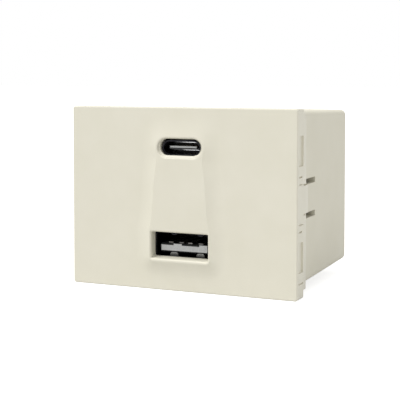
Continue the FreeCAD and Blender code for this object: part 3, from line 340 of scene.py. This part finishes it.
def ring(outline, y):
    """Points of an outline at a depth, which may vary round the ring."""
    level = np.broadcast_to(np.asarray(y, float), (len(outline),))
    return np.stack([outline[:, 0], level, outline[:, 1]], axis=-1)


def face_rings(front, facing, plate, outward):
    """Rings from the wedge's flat front down its slopes, over the plate and round its edge.

    The slopes run out further where they face up, by a smooth step from a fifth of full upwards.
    """
    reach = 1 + (WEDGE_TOP["flare"] - 1) * ease((facing[:, 1:] - 0.2) / 0.8)
    kept = 1 - wedge_loss(front[:, 1]) / WEDGE_HEIGHT
    distances = np.concatenate([[-0.06, -0.03, 0.0, 0.03, 0.06, 0.12],
                                np.linspace(0.25, WEDGE_FLARE, 22)])
    rings = [ring(front + facing * distance * reach, PLATE_FRONT - wedge_rise(distance) * kept)
             for distance in distances]
    flare_edge = front + facing * WEDGE_FLARE * reach
    inner_edge = plate - outward * (EDGE_ROUND + 0.06)
    rings += [ring(flare_edge + (inner_edge - flare_edge) * share, PLATE_FRONT)
              for share in (0.1, 0.3, 0.55, 0.8, 1.0)]
    rings += [ring(plate - outward * inset, PLATE_FRONT + behind)
              for inset, behind in zip(*quarter(EDGE_ROUND, 7))]
    return rings


def skirt_rings(plate, outward, lip):
    """Rings along the skirt, pushed in at pockets and grooves, and in over its back to the lip."""
    side = np.abs(plate[:, 0]) > PLATE_HALF[0] - 1e-6

    def push(y):
        """How far the pockets and grooves push the skirt in at a depth."""
        total = np.zeros(len(plate))
        for cut in (POCKET, GROOVE_INNER, GROOVE_OUTER):
            total += ramp(np.abs(plate[:, 1]), *cut["z"]) * ramp(y, *cut["y"]) * cut["depth"]
        low = GROOVE_LOW
        return (total + ramp(plate[:, 1], *low["z"]) * ramp(y, *low["y"]) * low["depth"]) * side

    edges = edge_pair(*POCKET["y"], GROOVE_INNER["y"][0], *GROOVE_OUTER["y"], GROOVE_LOW["y"][1])
    depths = np.unique(np.concatenate([edges, [-3.8, -3.5, -2.4, -1.8, -0.8, -SKIRT_ROUND]]))
    rings = [ring(plate - outward * push(y)[:, None], y) for y in depths]
    rings += [ring(plate - outward * (inset + push(0.0))[:, None], -behind)
              for inset, behind in list(zip(*quarter(SKIRT_ROUND, 4)))[::-1][1:]]
    back = plate - outward * (SKIRT_ROUND + 0.03 + push(0.0))[:, None]
    return rings + [ring(back, 0.0), ring(lip + (back - lip) * 0.12, 0.0), ring(lip, 0.0)]


def lip_rings(lip, room, front):
    """Rings along the lip, round its rim, forward on its inner wall and in over the plate's back.

    The rim lies at the lip's depth, further back at the snap tongue and close to the skirt in the
    slits beside it.
    """
    z = lip[:, 1]
    on_side = np.abs(lip[:, 0]) > LIP_HALF_WIDTH - 1e-6
    slits = (ramp(z, TONGUE_LOW - TONGUE_SLIT, TONGUE_LOW)
             + ramp(z, TONGUE_HIGH, TONGUE_HIGH + TONGUE_SLIT))
    rim = LIP_DEPTH + on_side * (ramp(z, TONGUE_LOW, TONGUE_HIGH) * (TONGUE_REACH - LIP_DEPTH)
                                 - slits * (LIP_DEPTH - SLIT_END))
    across = (lip - room) / LIP_WALL
    rings = [ring(lip, 0.03), ring(lip, rim * 0.5)]
    rings += [ring(lip - across * inset, rim - behind)
              for inset, behind in list(zip(*quarter(LIP_ROUND, 4)))[::-1]]
    rings += [ring(room + across * inset, rim - behind)
              for inset, behind in zip(*quarter(LIP_ROUND, 4))]
    rings += [ring(room, rim * 0.5 - 0.6), ring(room, PLATE_BACK + 0.03), ring(room, PLATE_BACK)]
    return rings + [ring(room + (front - room) * 0.05, PLATE_BACK), ring(front, PLATE_BACK)]


def port_grids(points, first, last, front):
    """The ring grids inside the wedge's outline, from its front ring through each port to its back.

    A straight line across the outline, once on the front and once on the back, parts the grid round
    the upper port from the one round the lower. Returns all points and the grids' faces.
    """
    def crossing(sign):
        """Number of the outline's point nearest the split on one side."""
        other_side = front[:, 0] * sign < 0
        return int(np.argmin(np.abs(front[:, 1] - WEDGE_SPLIT) + 100 * other_side))

    right, left = crossing(1), crossing(-1)
    upper = np.arange(right, left + 1)
    lower = np.concatenate([np.arange(left, len(front)), np.arange(0, right + 1)])
    split = 48
    share = (np.arange(split) + 1.0)[:, None] / (split + 1)
    total, blocks, lines, faces = len(points), [points], [], []
    for row in (first, last):
        start, end = points[row[left]], points[row[right]]
        blocks.append(start + (end - start) * share)
        lines.append(np.arange(total, total + split))
        total += split
    known = np.concatenate(blocks)
    sections = port_sections(PLATE_FRONT - WEDGE_HEIGHT)
    for part, way, centre, steps in ((upper, 1, C_CENTRE, sections["c"]),
                                     (lower, -1, A_CENTRE, sections["a"])):
        loops = [np.concatenate([row[part], line[::way]])
                 for row, line in zip((first, last), lines)]
        outer = known[loops[0]]
        angles = np.arctan2(outer[:, 2] - centre, outer[:, 0])
        walls = []
        for half_width, low, high, radius, y in steps:
            table, _ = rounded_loop(rectangle(half_width, low, high), [radius] * 4)
            loop = along_ray(table, angles, (0.0, centre))
            behind = np.clip((y - PLATE_FRONT + WEDGE_HEIGHT) / 0.6, 0, 1)
            walls.append(ring(loop, y + wedge_loss(loop[:, 1]) * (1 - behind)))
        gap = walls[0] - outer
        near = np.minimum(0.06 / np.linalg.norm(gap, axis=1)[:, None], 0.3)
        new = [outer + gap * near, outer + gap * (1 - near)] + walls
        new.append(new[-1] + (known[loops[1]] - new[-1]) * 0.05)
        rows = [loops[0]]
        for block in new:
            blocks.append(block)
            rows.append(np.arange(total, total + len(outer)))
            total += len(outer)
        faces.append(strip(np.asarray(rows + [loops[1]]), True))
    return np.concatenate(blocks), faces


def front_cover():
    """The moulded cover as one closed surface.

    Rings of points go from the wedge's flat front outwards: down its slopes, across the plate,
    round the front edge, along the skirt, in over the step, out along the lip, back along its inner
    wall and in over the plate's back. Inside the wedge's outline two ring grids run to the two
    ports, whose walls join the front to the back.
    """
    wedge, wedge_facing = wedge_outline()
    flare_table = np.concatenate([wedge + WEDGE_FLARE * wedge_facing, wedge, wedge_facing], axis=1)
    angles = cover_angles(flare_table, wedge)
    found = along_ray(flare_table, angles)
    front, facing = found[:, 2:4], found[:, 4:6]
    facing /= np.linalg.norm(facing, axis=1)[:, None]
    plate_points, plate_facing = rounded_loop(
        rectangle(PLATE_HALF[0], -PLATE_HALF[1], PLATE_HALF[1]), [PLATE_CORNER] * 4)
    plate = along_ray(np.concatenate([plate_points, plate_facing], axis=1), angles)
    plate, outward = plate[:, :2], plate[:, 2:4] / np.linalg.norm(plate[:, 2:4], axis=1)[:, None]
    lip = along_ray(rounded_loop(rectangle(LIP_HALF_WIDTH, LIP_LOW, LIP_HIGH), LIP_CORNERS)[0],
                    angles)
    inner = rectangle(LIP_HALF_WIDTH - LIP_WALL, LIP_LOW + LIP_WALL, LIP_HIGH - LIP_WALL)
    room = along_ray(rounded_loop(inner, [LIP_INNER_CORNER] * 4)[0], angles)
    rings = (face_rings(front, facing, plate, outward) + skirt_rings(plate, outward, lip)
             + lip_rings(lip, room, front))
    points = np.concatenate(rings)
    numbers = np.arange(len(points)).reshape(len(rings), len(angles))
    points, grids = port_grids(points, numbers[0], numbers[-1], front)
    faces = np.concatenate([strip(numbers, True)[:, ::-1]] + grids)
    return mesh_piece("front_cover_moulding", points, faces)


def terminal_screw(name, x_centre):
    """A slotted screw as one closed surface.

    The head's end is a grid across and along the slot: the point at (a, b) lies at radius times
    sin(a) across and cos(a) times b along, and sinks by the slot's depth where it lies within the
    slot. Its edge goes down the head's side, in under the head, and on to the shank, whose radius
    is the thread's crest less a triangle wave of (depth / pitch - turn), which makes the thread a
    helix.
    """
    edges = np.arcsin(np.clip(edge_pair(-SLOT_HALF, SLOT_HALF) / HEAD_RADIUS, -1, 1))
    a = np.unique(np.concatenate([np.linspace(-np.pi / 2, np.pi / 2, 33), edges]))
    b = np.linspace(-1, 1, 9)
    across = np.sin(a)[:, None] * HEAD_RADIUS + 0 * b
    along = np.cos(a)[:, None] * b * HEAD_RADIUS
    depth = ramp(across, -SLOT_HALF, SLOT_HALF) * SLOT_DEPTH
    top = np.stack([along, HEAD_REAR - depth, across], axis=-1)
    top_numbers = np.arange(top.size // 3).reshape(top.shape[:2])
    loop = np.concatenate([top_numbers[:, -1], top_numbers[::-1, 0]])
    faces = [strip(top_numbers, False)[:, ::-1]]
    points = [top.reshape(-1, 3)]
    start = points[0][loop]
    turn = np.arctan2(start[:, 2], start[:, 0])
    total, rows = len(points[0]), [loop]

    core = SHANK_RADIUS - THREAD_DEPTH
    turned = [(HEAD_RADIUS, HEAD_REAR - SLOT_DEPTH - 0.05),
              (HEAD_RADIUS, HEAD_FRONT + HEAD_CHAMFER),
              (HEAD_RADIUS - HEAD_CHAMFER, HEAD_FRONT), (core, HEAD_FRONT)]
    for y in np.arange(HEAD_FRONT - THREAD_RUN_OUT, SCREW_TIP + THREAD_RUN_OUT, -THREAD_PITCH / 6):
        wave = np.abs(np.mod(y / THREAD_PITCH - turn / (2 * np.pi), 1.0) * 2 - 1)
        turned.append((SHANK_RADIUS - THREAD_DEPTH * wave, y))
    turned += [(core, SCREW_TIP + TIP_CHAMFER["length"]), (core - TIP_CHAMFER["radius"], SCREW_TIP),
               (0.0, SCREW_TIP)]
    for radius, y in turned:
        outline = np.stack([radius * np.cos(turn), radius * np.sin(turn)], axis=-1)
        points.append(ring(outline, y))
        rows.append(np.arange(total, total + len(turn)))
        total += len(turn)
    faces.append(strip(np.asarray(rows), True))
    placed = np.concatenate(points) + np.array([x_centre, 0.0, SCREW_Z])
    return mesh_piece(name, placed, np.concatenate(faces), sharp=32.0)


def add(tree, kind, settings=None, **links):
    """Adds a node. Settings are its own fields, or values of its sockets by name or number. Links
    join its sockets, each named with _ for a space, or numbered with _ in front."""
    node = tree.nodes.new(kind)
    for key, value in (settings or {}).items():
        if isinstance(key, int) or key in node.inputs:
            node.inputs[key].default_value = value
        else:
            setattr(node, key, value)
    for key, source in links.items():
        name = key.replace("_", " ")
        spot = int(key[1:]) if key[1:].isdigit() else name
        tree.links.new(source, node.inputs[spot])
    return node


# Patterns that several materials share: the width of a moulding's faint flow blotches and of the
# clouds on metal, in millimetres, and how many times longer than wide a metal's streaks are
BLOTCH_MM, CLOUD_MM, STREAK_RATIO = 7.0, 1.6, 14.0


def start_material(name):
    """An empty material with an output, and the piece's own coordinates in metres."""
    material = bpy.data.materials.new(name)
    material.use_nodes = True
    tree = material.node_tree
    tree.nodes.clear()
    output = add(tree, "ShaderNodeOutputMaterial")
    place = add(tree, "ShaderNodeTexCoord").outputs["Object"]
    return material, tree, output, place


def two_tones(tree, factor, low, high, first, second):
    """A ramp from one colour to another between two values of a pattern."""
    node = add(tree, "ShaderNodeValToRGB", Fac=factor)
    for stop, position, colour in zip(node.color_ramp.elements, (low, high), (first, second)):
        stop.position, stop.color = position, linear(colour)
    return node.outputs["Color"]


def grit(tree, place, size_mm, detail=3.0):
    """A noise whose grains are about the given size."""
    return add(tree, "ShaderNodeTexNoise", {"Scale": 1.0 / (size_mm * MM), "Detail": detail},
               Vector=place).outputs["Fac"]


def spread(tree, factor, low, high):
    """A pattern's middle range stretched to run from one value to another."""
    return add(tree, "ShaderNodeMapRange", {"From Min": 0.3, "From Max": 0.7, "To Min": low,
                                            "To Max": high}, Value=factor).outputs["Result"]


def moulded(name, tones, grain_mm, depth_mm, roughness, ior=1.5):
    """Injection-moulded plastic: the tool's spark-eroded skin as a fine bump, faint flow blotches
    in the colour, and gloss that varies a little with them."""
    material, tree, output, place = start_material(name)
    blotch = grit(tree, place, BLOTCH_MM, 2.0)
    grain = grit(tree, place, grain_mm)
    bump = add(tree, "ShaderNodeBump", {"Strength": 1.0, "Distance": depth_mm * MM}, Height=grain)
    shader = add(tree, "ShaderNodeBsdfPrincipled", {"IOR": ior},
                 Base_Color=two_tones(tree, blotch, 0.3, 0.7, *tones),
                 Roughness=spread(tree, grain, *roughness), Normal=bump.outputs["Normal"])
    tree.links.new(shader.outputs["BSDF"], output.inputs["Surface"])
    return material


def inside(tree, place, **spans):
    """1 inside a box, else 0. Each axis named has its middle and reach in millimetres, and X is
    taken without its sign, so that a box away from the middle has its mirror image."""
    parts = add(tree, "ShaderNodeSeparateXYZ", Vector=place)
    found = None
    for axis, (middle, reach) in spans.items():
        along = parts.outputs[axis]
        if axis == "X":
            size = add(tree, "ShaderNodeMath", {"operation": "ABSOLUTE"}, _0=along)
            along = size.outputs["Value"]
        near = add(tree, "ShaderNodeMath", {"operation": "COMPARE", 1: middle * MM, 2: reach * MM},
                   _0=along).outputs["Value"]
        if found is not None:
            near = add(tree, "ShaderNodeMath", {"operation": "MULTIPLY"},
                       _0=found, _1=near).outputs["Value"]
        found = near
    return found


def worked_metal(name, tones, streak_mm, along, depth_mm, roughness, highlight_patch=None):
    """Sheet or turned metal: streaks drawn out along the way it was worked, and gloss that
    follows. Inside a box that may be given it is coloured paler, a painted highlight."""
    material, tree, output, place = start_material(name)
    stretch = [1.0 / (streak_mm * MM)] * 3
    stretch[along] /= STREAK_RATIO
    drawn = add(tree, "ShaderNodeMapping", {"Scale": stretch}, Vector=place).outputs["Vector"]
    streak = add(tree, "ShaderNodeTexNoise", {"Scale": 1.0, "Detail": 4.0},
                 Vector=drawn).outputs["Fac"]
    cloud = grit(tree, place, CLOUD_MM)
    bump = add(tree, "ShaderNodeBump", {"Strength": 1.0, "Distance": depth_mm * MM}, Height=streak)
    colour = two_tones(tree, cloud, 0.3, 0.7, *tones)
    # Paler metal inside the box: a painted highlight
    if highlight_patch is not None:
        colour = add(tree, "ShaderNodeMix", {"data_type": "RGBA"},
                     Factor=inside(tree, place, **highlight_patch["box"]), A=colour,
                     B=two_tones(tree, cloud, 0.3, 0.7, *highlight_patch["tones"])).outputs["Result"]
    shader = add(tree, "ShaderNodeBsdfPrincipled", {"Metallic": 1.0}, Base_Color=colour,
                 Roughness=spread(tree, streak, *roughness), Normal=bump.outputs["Normal"])
    tree.links.new(shader.outputs["BSDF"], output.inputs["Surface"])
    return material


def speckled(name, tones, grain_mm, depth_mm, roughness, low=0.42, high=0.6):
    """Sintered, fired or filled stuff: grains of a second tone, each with its own small bump."""
    material, tree, output, place = start_material(name)
    cells = add(tree, "ShaderNodeTexVoronoi", {"Scale": 1.0 / (grain_mm * MM)}, Vector=place)
    grain = grit(tree, place, grain_mm * 1.7)
    bump = add(tree, "ShaderNodeBump", {"Strength": 1.0, "Distance": depth_mm * MM},
               Height=cells.outputs["Distance"])
    shader = add(tree, "ShaderNodeBsdfPrincipled", {},
                 Base_Color=two_tones(tree, grain, low, high, *tones),
                 Roughness=spread(tree, grain, *roughness), Normal=bump.outputs["Normal"])
    tree.links.new(shader.outputs["BSDF"], output.inputs["Surface"])
    return material


def nose_and_painted_shade(name, box, clips=None):
    """Glass-filled nylon tongue: its nose, inside a box, is pale grey with fibre ends; round and
    behind it the colour is near black, painted shade for the depth of the port. Two bright steel
    clips, inside boxes that may be given, cross the base's face and catch the light from outside."""
    material, tree, output, place = start_material(name)
    fibres = grit(tree, place, 0.12)
    # Near black outside the nose's box: painted shade deep in the port
    colour = add(tree, "ShaderNodeMix", {"data_type": "RGBA"}, Factor=inside(tree, place, **box),
                 A=two_tones(tree, fibres, 0.35, 0.65, "1F2022", "2A2B2D"),
                 B=two_tones(tree, fibres, 0.35, 0.65, "BDBFC0", "D0D2D3")).outputs["Result"]
    gloss = spread(tree, fibres, 0.45, 0.62)
    linked = {}
    if clips:
        metal = add(tree, "ShaderNodeMath", {"operation": "MAXIMUM"},
                    _0=inside(tree, place, **clips[0]),
                    _1=inside(tree, place, **clips[1])).outputs["Value"]
        linked["Metallic"] = metal
        colour = add(tree, "ShaderNodeMix", {"data_type": "RGBA"}, Factor=metal, A=colour,
                     B=two_tones(tree, fibres, 0.35, 0.65, "D5D7D9", "E4E5E6")).outputs["Result"]
        polish = add(tree, "ShaderNodeMapRange", {"To Min": 1.0, "To Max": 0.4}, Value=metal)
        gloss = add(tree, "ShaderNodeMath", {"operation": "MULTIPLY"}, _0=gloss,
                    _1=polish.outputs["Result"]).outputs["Value"]
    bump = add(tree, "ShaderNodeBump", {"Strength": 1.0, "Distance": 0.005 * MM}, Height=fibres)
    shader = add(tree, "ShaderNodeBsdfPrincipled", {}, Base_Color=colour, Roughness=gloss,
                 Normal=bump.outputs["Normal"], **linked)
    tree.links.new(shader.outputs["BSDF"], output.inputs["Surface"])
    return material


def circuit_laminate():
    """Glass laminate under green solder mask: raised tracks show paler through the mask, in rows
    0.9 mm apart at 45 degrees (0.785 radians), coarser than real ones so that they show."""
    material, tree, output, place = start_material("circuit_laminate_masked")
    turned = add(tree, "ShaderNodeMapping", {"Rotation": (0.0, 0.0, 0.785)}, Vector=place)
    tracks = add(tree, "ShaderNodeTexBrick",
                 {"Scale": 1.0 / (3.0 * MM), "Mortar Size": 0.09, "Brick Width": 0.9,
                  "Row Height": 0.3, "Color1": linear("1E5C38"), "Color2": linear("236540"),
                  "Mortar": linear("174A2C")}, Vector=turned.outputs["Vector"])
    bump = add(tree, "ShaderNodeBump", {"Strength": 0.6, "Distance": 0.02 * MM},
               Height=tracks.outputs["Fac"])
    shader = add(tree, "ShaderNodeBsdfPrincipled", {"IOR": 1.55},
                 Base_Color=tracks.outputs["Color"],
                 Roughness=spread(tree, grit(tree, place, 0.4), 0.22, 0.4),
                 Normal=bump.outputs["Normal"])
    tree.links.new(shader.outputs["BSDF"], output.inputs["Surface"])
    return material


def wound_tape():
    """Yellow polyester tape over a winding: its turns' edges show as faint lines 2.4 mm apart, the
    wave's scale being 1 over 7.5 mm and its period 2 pi over 20 of that."""
    material, tree, output, place = start_material("polyester_tape_wound")
    wave = add(tree, "ShaderNodeTexWave", {"bands_direction": "Y", "Scale": 1.0 / (7.5 * MM),
                                           "Distortion": 0.6}, Vector=place).outputs["Fac"]
    bump = add(tree, "ShaderNodeBump", {"Strength": 0.7, "Distance": 0.04 * MM}, Height=wave)
    shader = add(tree, "ShaderNodeBsdfPrincipled", {"IOR": 1.6},
                 Base_Color=two_tones(tree, wave, 0.05, 0.5, "B98E1E", "E2BE3E"),
                 Roughness=spread(tree, grit(tree, place, 0.5), 0.25, 0.45),
                 Normal=bump.outputs["Normal"])
    tree.links.new(shader.outputs["BSDF"], output.inputs["Surface"])
    return material


def give(material, *names):
    """Puts a material on CAD nodes by name."""
    for name in names:
        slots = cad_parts[name].data.materials
        slots.clear()
        slots.append(material)


# Spark-eroded skin on ivory polycarbonate: soft satin, no sparkle, slight warm shading
cover_satin = moulded("moulded_polycarbonate_ivory", ("DFDBCA", "E2DECE"), 0.22, 0.004,
                      (0.42, 0.52))
# The housing comes from a coarser, drier tool, so it is duller than the cover
housing_matt = moulded("moulded_polycarbonate_ivory_matt", ("DEDAC8", "E1DDCC"), 0.3, 0.008,
                       (0.55, 0.66))
# Black nickel over drawn steel: near black with a tight, cool glint
shell_metal = worked_metal("black_nickel_drawn_steel", ("232326", "2E2E31"), 0.12, 1, 0.002,
                           (0.28, 0.42))
# The wide shell's floor springs: their fronts and crowns are coloured paler, a painted highlight
spring_highlight = {"box": {"X": (3.1, 1.1), "Z": (-12.05, 0.4)}, "tones": ("8A8986", "A09F9B")}
sprung_metal = worked_metal("black_nickel_springs_painted_highlight", ("232326", "2E2E31"), 0.12, 1, 0.002,
                            (0.28, 0.42), highlight_patch=spring_highlight)
# Glass-filled nylon tongues: light grey noses, near black behind them as painted shade in the ports
a_tongue = nose_and_painted_shade("glass_filled_nylon_painted_shade_wide",
                    {"X": (0.0, 5.37), "Y": (-2.1, 0.03), "Z": (-10.65, 0.95)})
c_tongue = nose_and_painted_shade("glass_filled_nylon_painted_shade_slim",
                    {"X": (0.0, 3.35), "Y": (-2.6, 0.03), "Z": (11.105, 0.185)},
                    clips=({"Y": (1.4, 0.05), "Z": (11.92, 0.14)},
                           {"Y": (1.4, 0.05), "Z": (10.2, 0.07)}))
# A gold flash over copper: warm, bright and smooth
contact_gold = worked_metal("gold_flashed_contact", ("D8B066", "E5C27E"), 0.06, 1, 0.001,
                            (0.2, 0.32))
# The wide port's springs: dull grey metal, darkened as painted shade for their place deep in the
# port
contact_grey_shaded = worked_metal("grey_contact_painted_shade", ("6E6C68", "8C8A86"), 0.06, 1, 0.001,
                            (0.3, 0.45))
# Rolled stainless keeps fine lines along the sheet
mid_steel = worked_metal("rolled_stainless_sheet", ("B9BBBE", "C6C8CA"), 0.08, 0, 0.001,
                         (0.25, 0.4))
# Pressed and fired ferrite is dark grey with a sandy skin
ferrite = speckled("sintered_ferrite", ("2C2C2F", "3E3D40"), 0.18, 0.01, (0.6, 0.8))
# Phenolic moulding: black-brown with pale filler specks
phenolic = speckled("phenolic_moulding_black", ("1B1918", "2A2725"), 0.14, 0.006, (0.45, 0.6))
# Epoxy chip bodies are laser-dull black with a fine sand of silica
epoxy_black = speckled("epoxy_chip_black", ("1C1C1E", "29292B"), 0.09, 0.004, (0.5, 0.65))
# Dipped epoxy flows before it sets: glossy blue with slow waves
epoxy_blue = moulded("dipped_epoxy_blue", ("2B55A0", "3162B2"), 0.9, 0.03, (0.16, 0.28))
# Cement coat: matt green, gritty
cement = speckled("cement_coat_green", ("5E7A4E", "6F8A5C"), 0.16, 0.015, (0.75, 0.9))
# Fired ceramic: tan, even, slightly glassy
ceramic = speckled("fired_ceramic_tan", ("A98C6B", "B8997A"), 0.1, 0.003, (0.35, 0.5))
# Polyester film: smooth, pale amber
film = moulded("polyester_film_amber", ("D9CBA0", "E0D3AC"), 0.8, 0.004, (0.2, 0.3), ior=1.6)
# Aluminium can in its shrunk sleeve: dark, softly glossy, with the sleeve's fine ripples
sleeve = moulded("shrunk_sleeve_dark", ("26282C", "303338"), 0.5, 0.01, (0.28, 0.42))
# Stamped brass: warm yellow with lines from the sheet
brass = worked_metal("stamped_brass", ("C9A557", "D8B669"), 0.15, 2, 0.003, (0.28, 0.42))
# Zinc plate: pale blue-grey, cloudy
zinc = worked_metal("zinc_plated_steel", ("AEB4BA", "C4C8CC"), 0.2, 1, 0.004, (0.3, 0.5))
laminate = circuit_laminate()
tape = wound_tape()

give(housing_matt, "rear_housing")
give(shell_metal, "usb_c_shell")
give(sprung_metal, "usb_a_shell")
give(a_tongue, "usb_a_insulator")
give(c_tongue, "usb_c_insulator")
give(contact_gold, "usb_c_contacts", "board_link_pins")
give(contact_grey_shaded, "usb_a_contacts")
give(mid_steel, "usb_c_mid_plate")
give(laminate, "power_board", "port_board")
give(film, "isolation_barrier")
give(ferrite, "transformer_core_front", "transformer_core_rear", "input_choke", "output_inductor")
give(phenolic, "transformer_bobbin")
give(tape, "transformer_winding")
give(sleeve, "input_capacitor_1", "input_capacitor_2", "output_capacitor_1", "output_capacitor_2")
give(cement, "fusible_resistor")
give(epoxy_blue, "varistor", "y_capacitor")
give(epoxy_black, "bridge_rectifier", "primary_controller", "optocoupler", "sync_rectifier",
     "usb_c_controller", "usb_a_controller", "chip_resistors")
give(ceramic, "chip_capacitors")
give(brass, "line_busbar", "neutral_busbar")
give(zinc, "line_cage", "neutral_cage", "line_screw", "neutral_screw")
give(cover_satin, "front_cover")

cover = front_cover()
cover.data.materials.append(cover_satin)
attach(cover, "module")
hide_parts("front_cover")

for side, x_centre in (("line", -SCREW_X), ("neutral", SCREW_X)):
    screw = terminal_screw(side + "_screw_threaded", x_centre)
    screw.data.materials.append(zinc)
    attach(screw, side + "_screw_body")
    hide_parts(side + "_screw")


def white_floor():
    """Matt floor under the plate's lower edge; camera rays get a little light added, so that it is
    white where it is lit and keeps the object's shadow."""
    material, tree, output, place = start_material("studio_floor_white")
    path = add(tree, "ShaderNodeLightPath")
    seen = add(tree, "ShaderNodeMath", {"operation": "MAXIMUM"},
               _0=path.outputs["Is Camera Ray"], _1=path.outputs["Is Glossy Ray"])
    glow = add(tree, "ShaderNodeMath", {"operation": "MULTIPLY", 1: FLOOR_GLOW},
               _0=seen.outputs["Value"])
    light = add(tree, "ShaderNodeEmission", {"Color": (1.0, 1.0, 1.0, 1.0)},
                Strength=glow.outputs["Value"])
    matt = add(tree, "ShaderNodeBsdfDiffuse",
               Color=two_tones(tree, grit(tree, place, 30.0), 0.3, 0.7, "CBCBCA", "D0D0CF"))
    both = add(tree, "ShaderNodeAddShader", _0=light.outputs["Emission"], _1=matt.outputs["BSDF"])
    tree.links.new(both.outputs["Shader"], output.inputs["Surface"])
    level = -PLATE_HALF[1] - FLOOR_GAP
    corners = np.array([[-1, -1], [1, -1], [1, 1], [-1, 1]]) * FLOOR_REACH
    points = np.concatenate([corners, np.full((4, 1), level)], axis=1)
    floor = mesh_piece("studio_floor", points, [[0, 1, 2, 3]])
    floor.data.materials.append(material)


def studio():
    """Even pale surroundings, white to the camera, and one broad lamp from the upper left."""
    world = bpy.data.worlds.new("pale_studio")
    bpy.context.scene.world = world
    world.use_nodes = True
    tree = world.node_tree
    tree.nodes.clear()
    path = add(tree, "ShaderNodeLightPath")
    seen = add(tree, "ShaderNodeMath", {"operation": "MAXIMUM"},
               _0=path.outputs["Is Camera Ray"], _1=path.outputs["Is Transmission Ray"])
    strength = add(tree, "ShaderNodeMapRange", {"To Min": SKY_LIGHT, "To Max": 1.0},
                   Value=seen.outputs["Value"])
    sky = add(tree, "ShaderNodeBackground", {"Color": (1.0, 1.0, 1.0, 1.0)},
              Strength=strength.outputs["Result"])
    output = add(tree, "ShaderNodeOutputWorld")
    tree.links.new(sky.outputs["Background"], output.inputs["Surface"])
    lamp = bpy.data.lights.new("broad_lamp", "SUN")
    lamp.energy = LAMP["energy"]
    lamp.angle = math.radians(LAMP["breadth"])
    holder = bpy.data.objects.new("broad_lamp", lamp)
    bpy.context.scene.collection.objects.link(holder)
    holder.rotation_euler = (math.radians(LAMP["lean"]), 0.0, math.radians(LAMP["turn"]))


def photograph_camera():
    """Camera at the photograph's place: yawed 23.9 degrees, 3 degrees down, a long lens, and the
    frame moved down as the photograph's crop has it."""
    data = bpy.data.cameras.new("photograph_camera")
    data.lens, data.sensor_width = 96.7, 36.0
    data.shift_y = -0.177
    data.clip_start = 0.01
    camera = bpy.data.objects.new("photograph_camera", data)
    bpy.context.scene.collection.objects.link(camera)
    camera.location = (0.09518, -0.20868, 0.02668)
    camera.rotation_euler = (math.radians(90 - 2.98), 0.0, math.radians(23.89))
    bpy.context.scene.camera = camera


white_floor()
studio()
photograph_camera()
bpy.context.scene.view_settings.view_transform = "Standard"
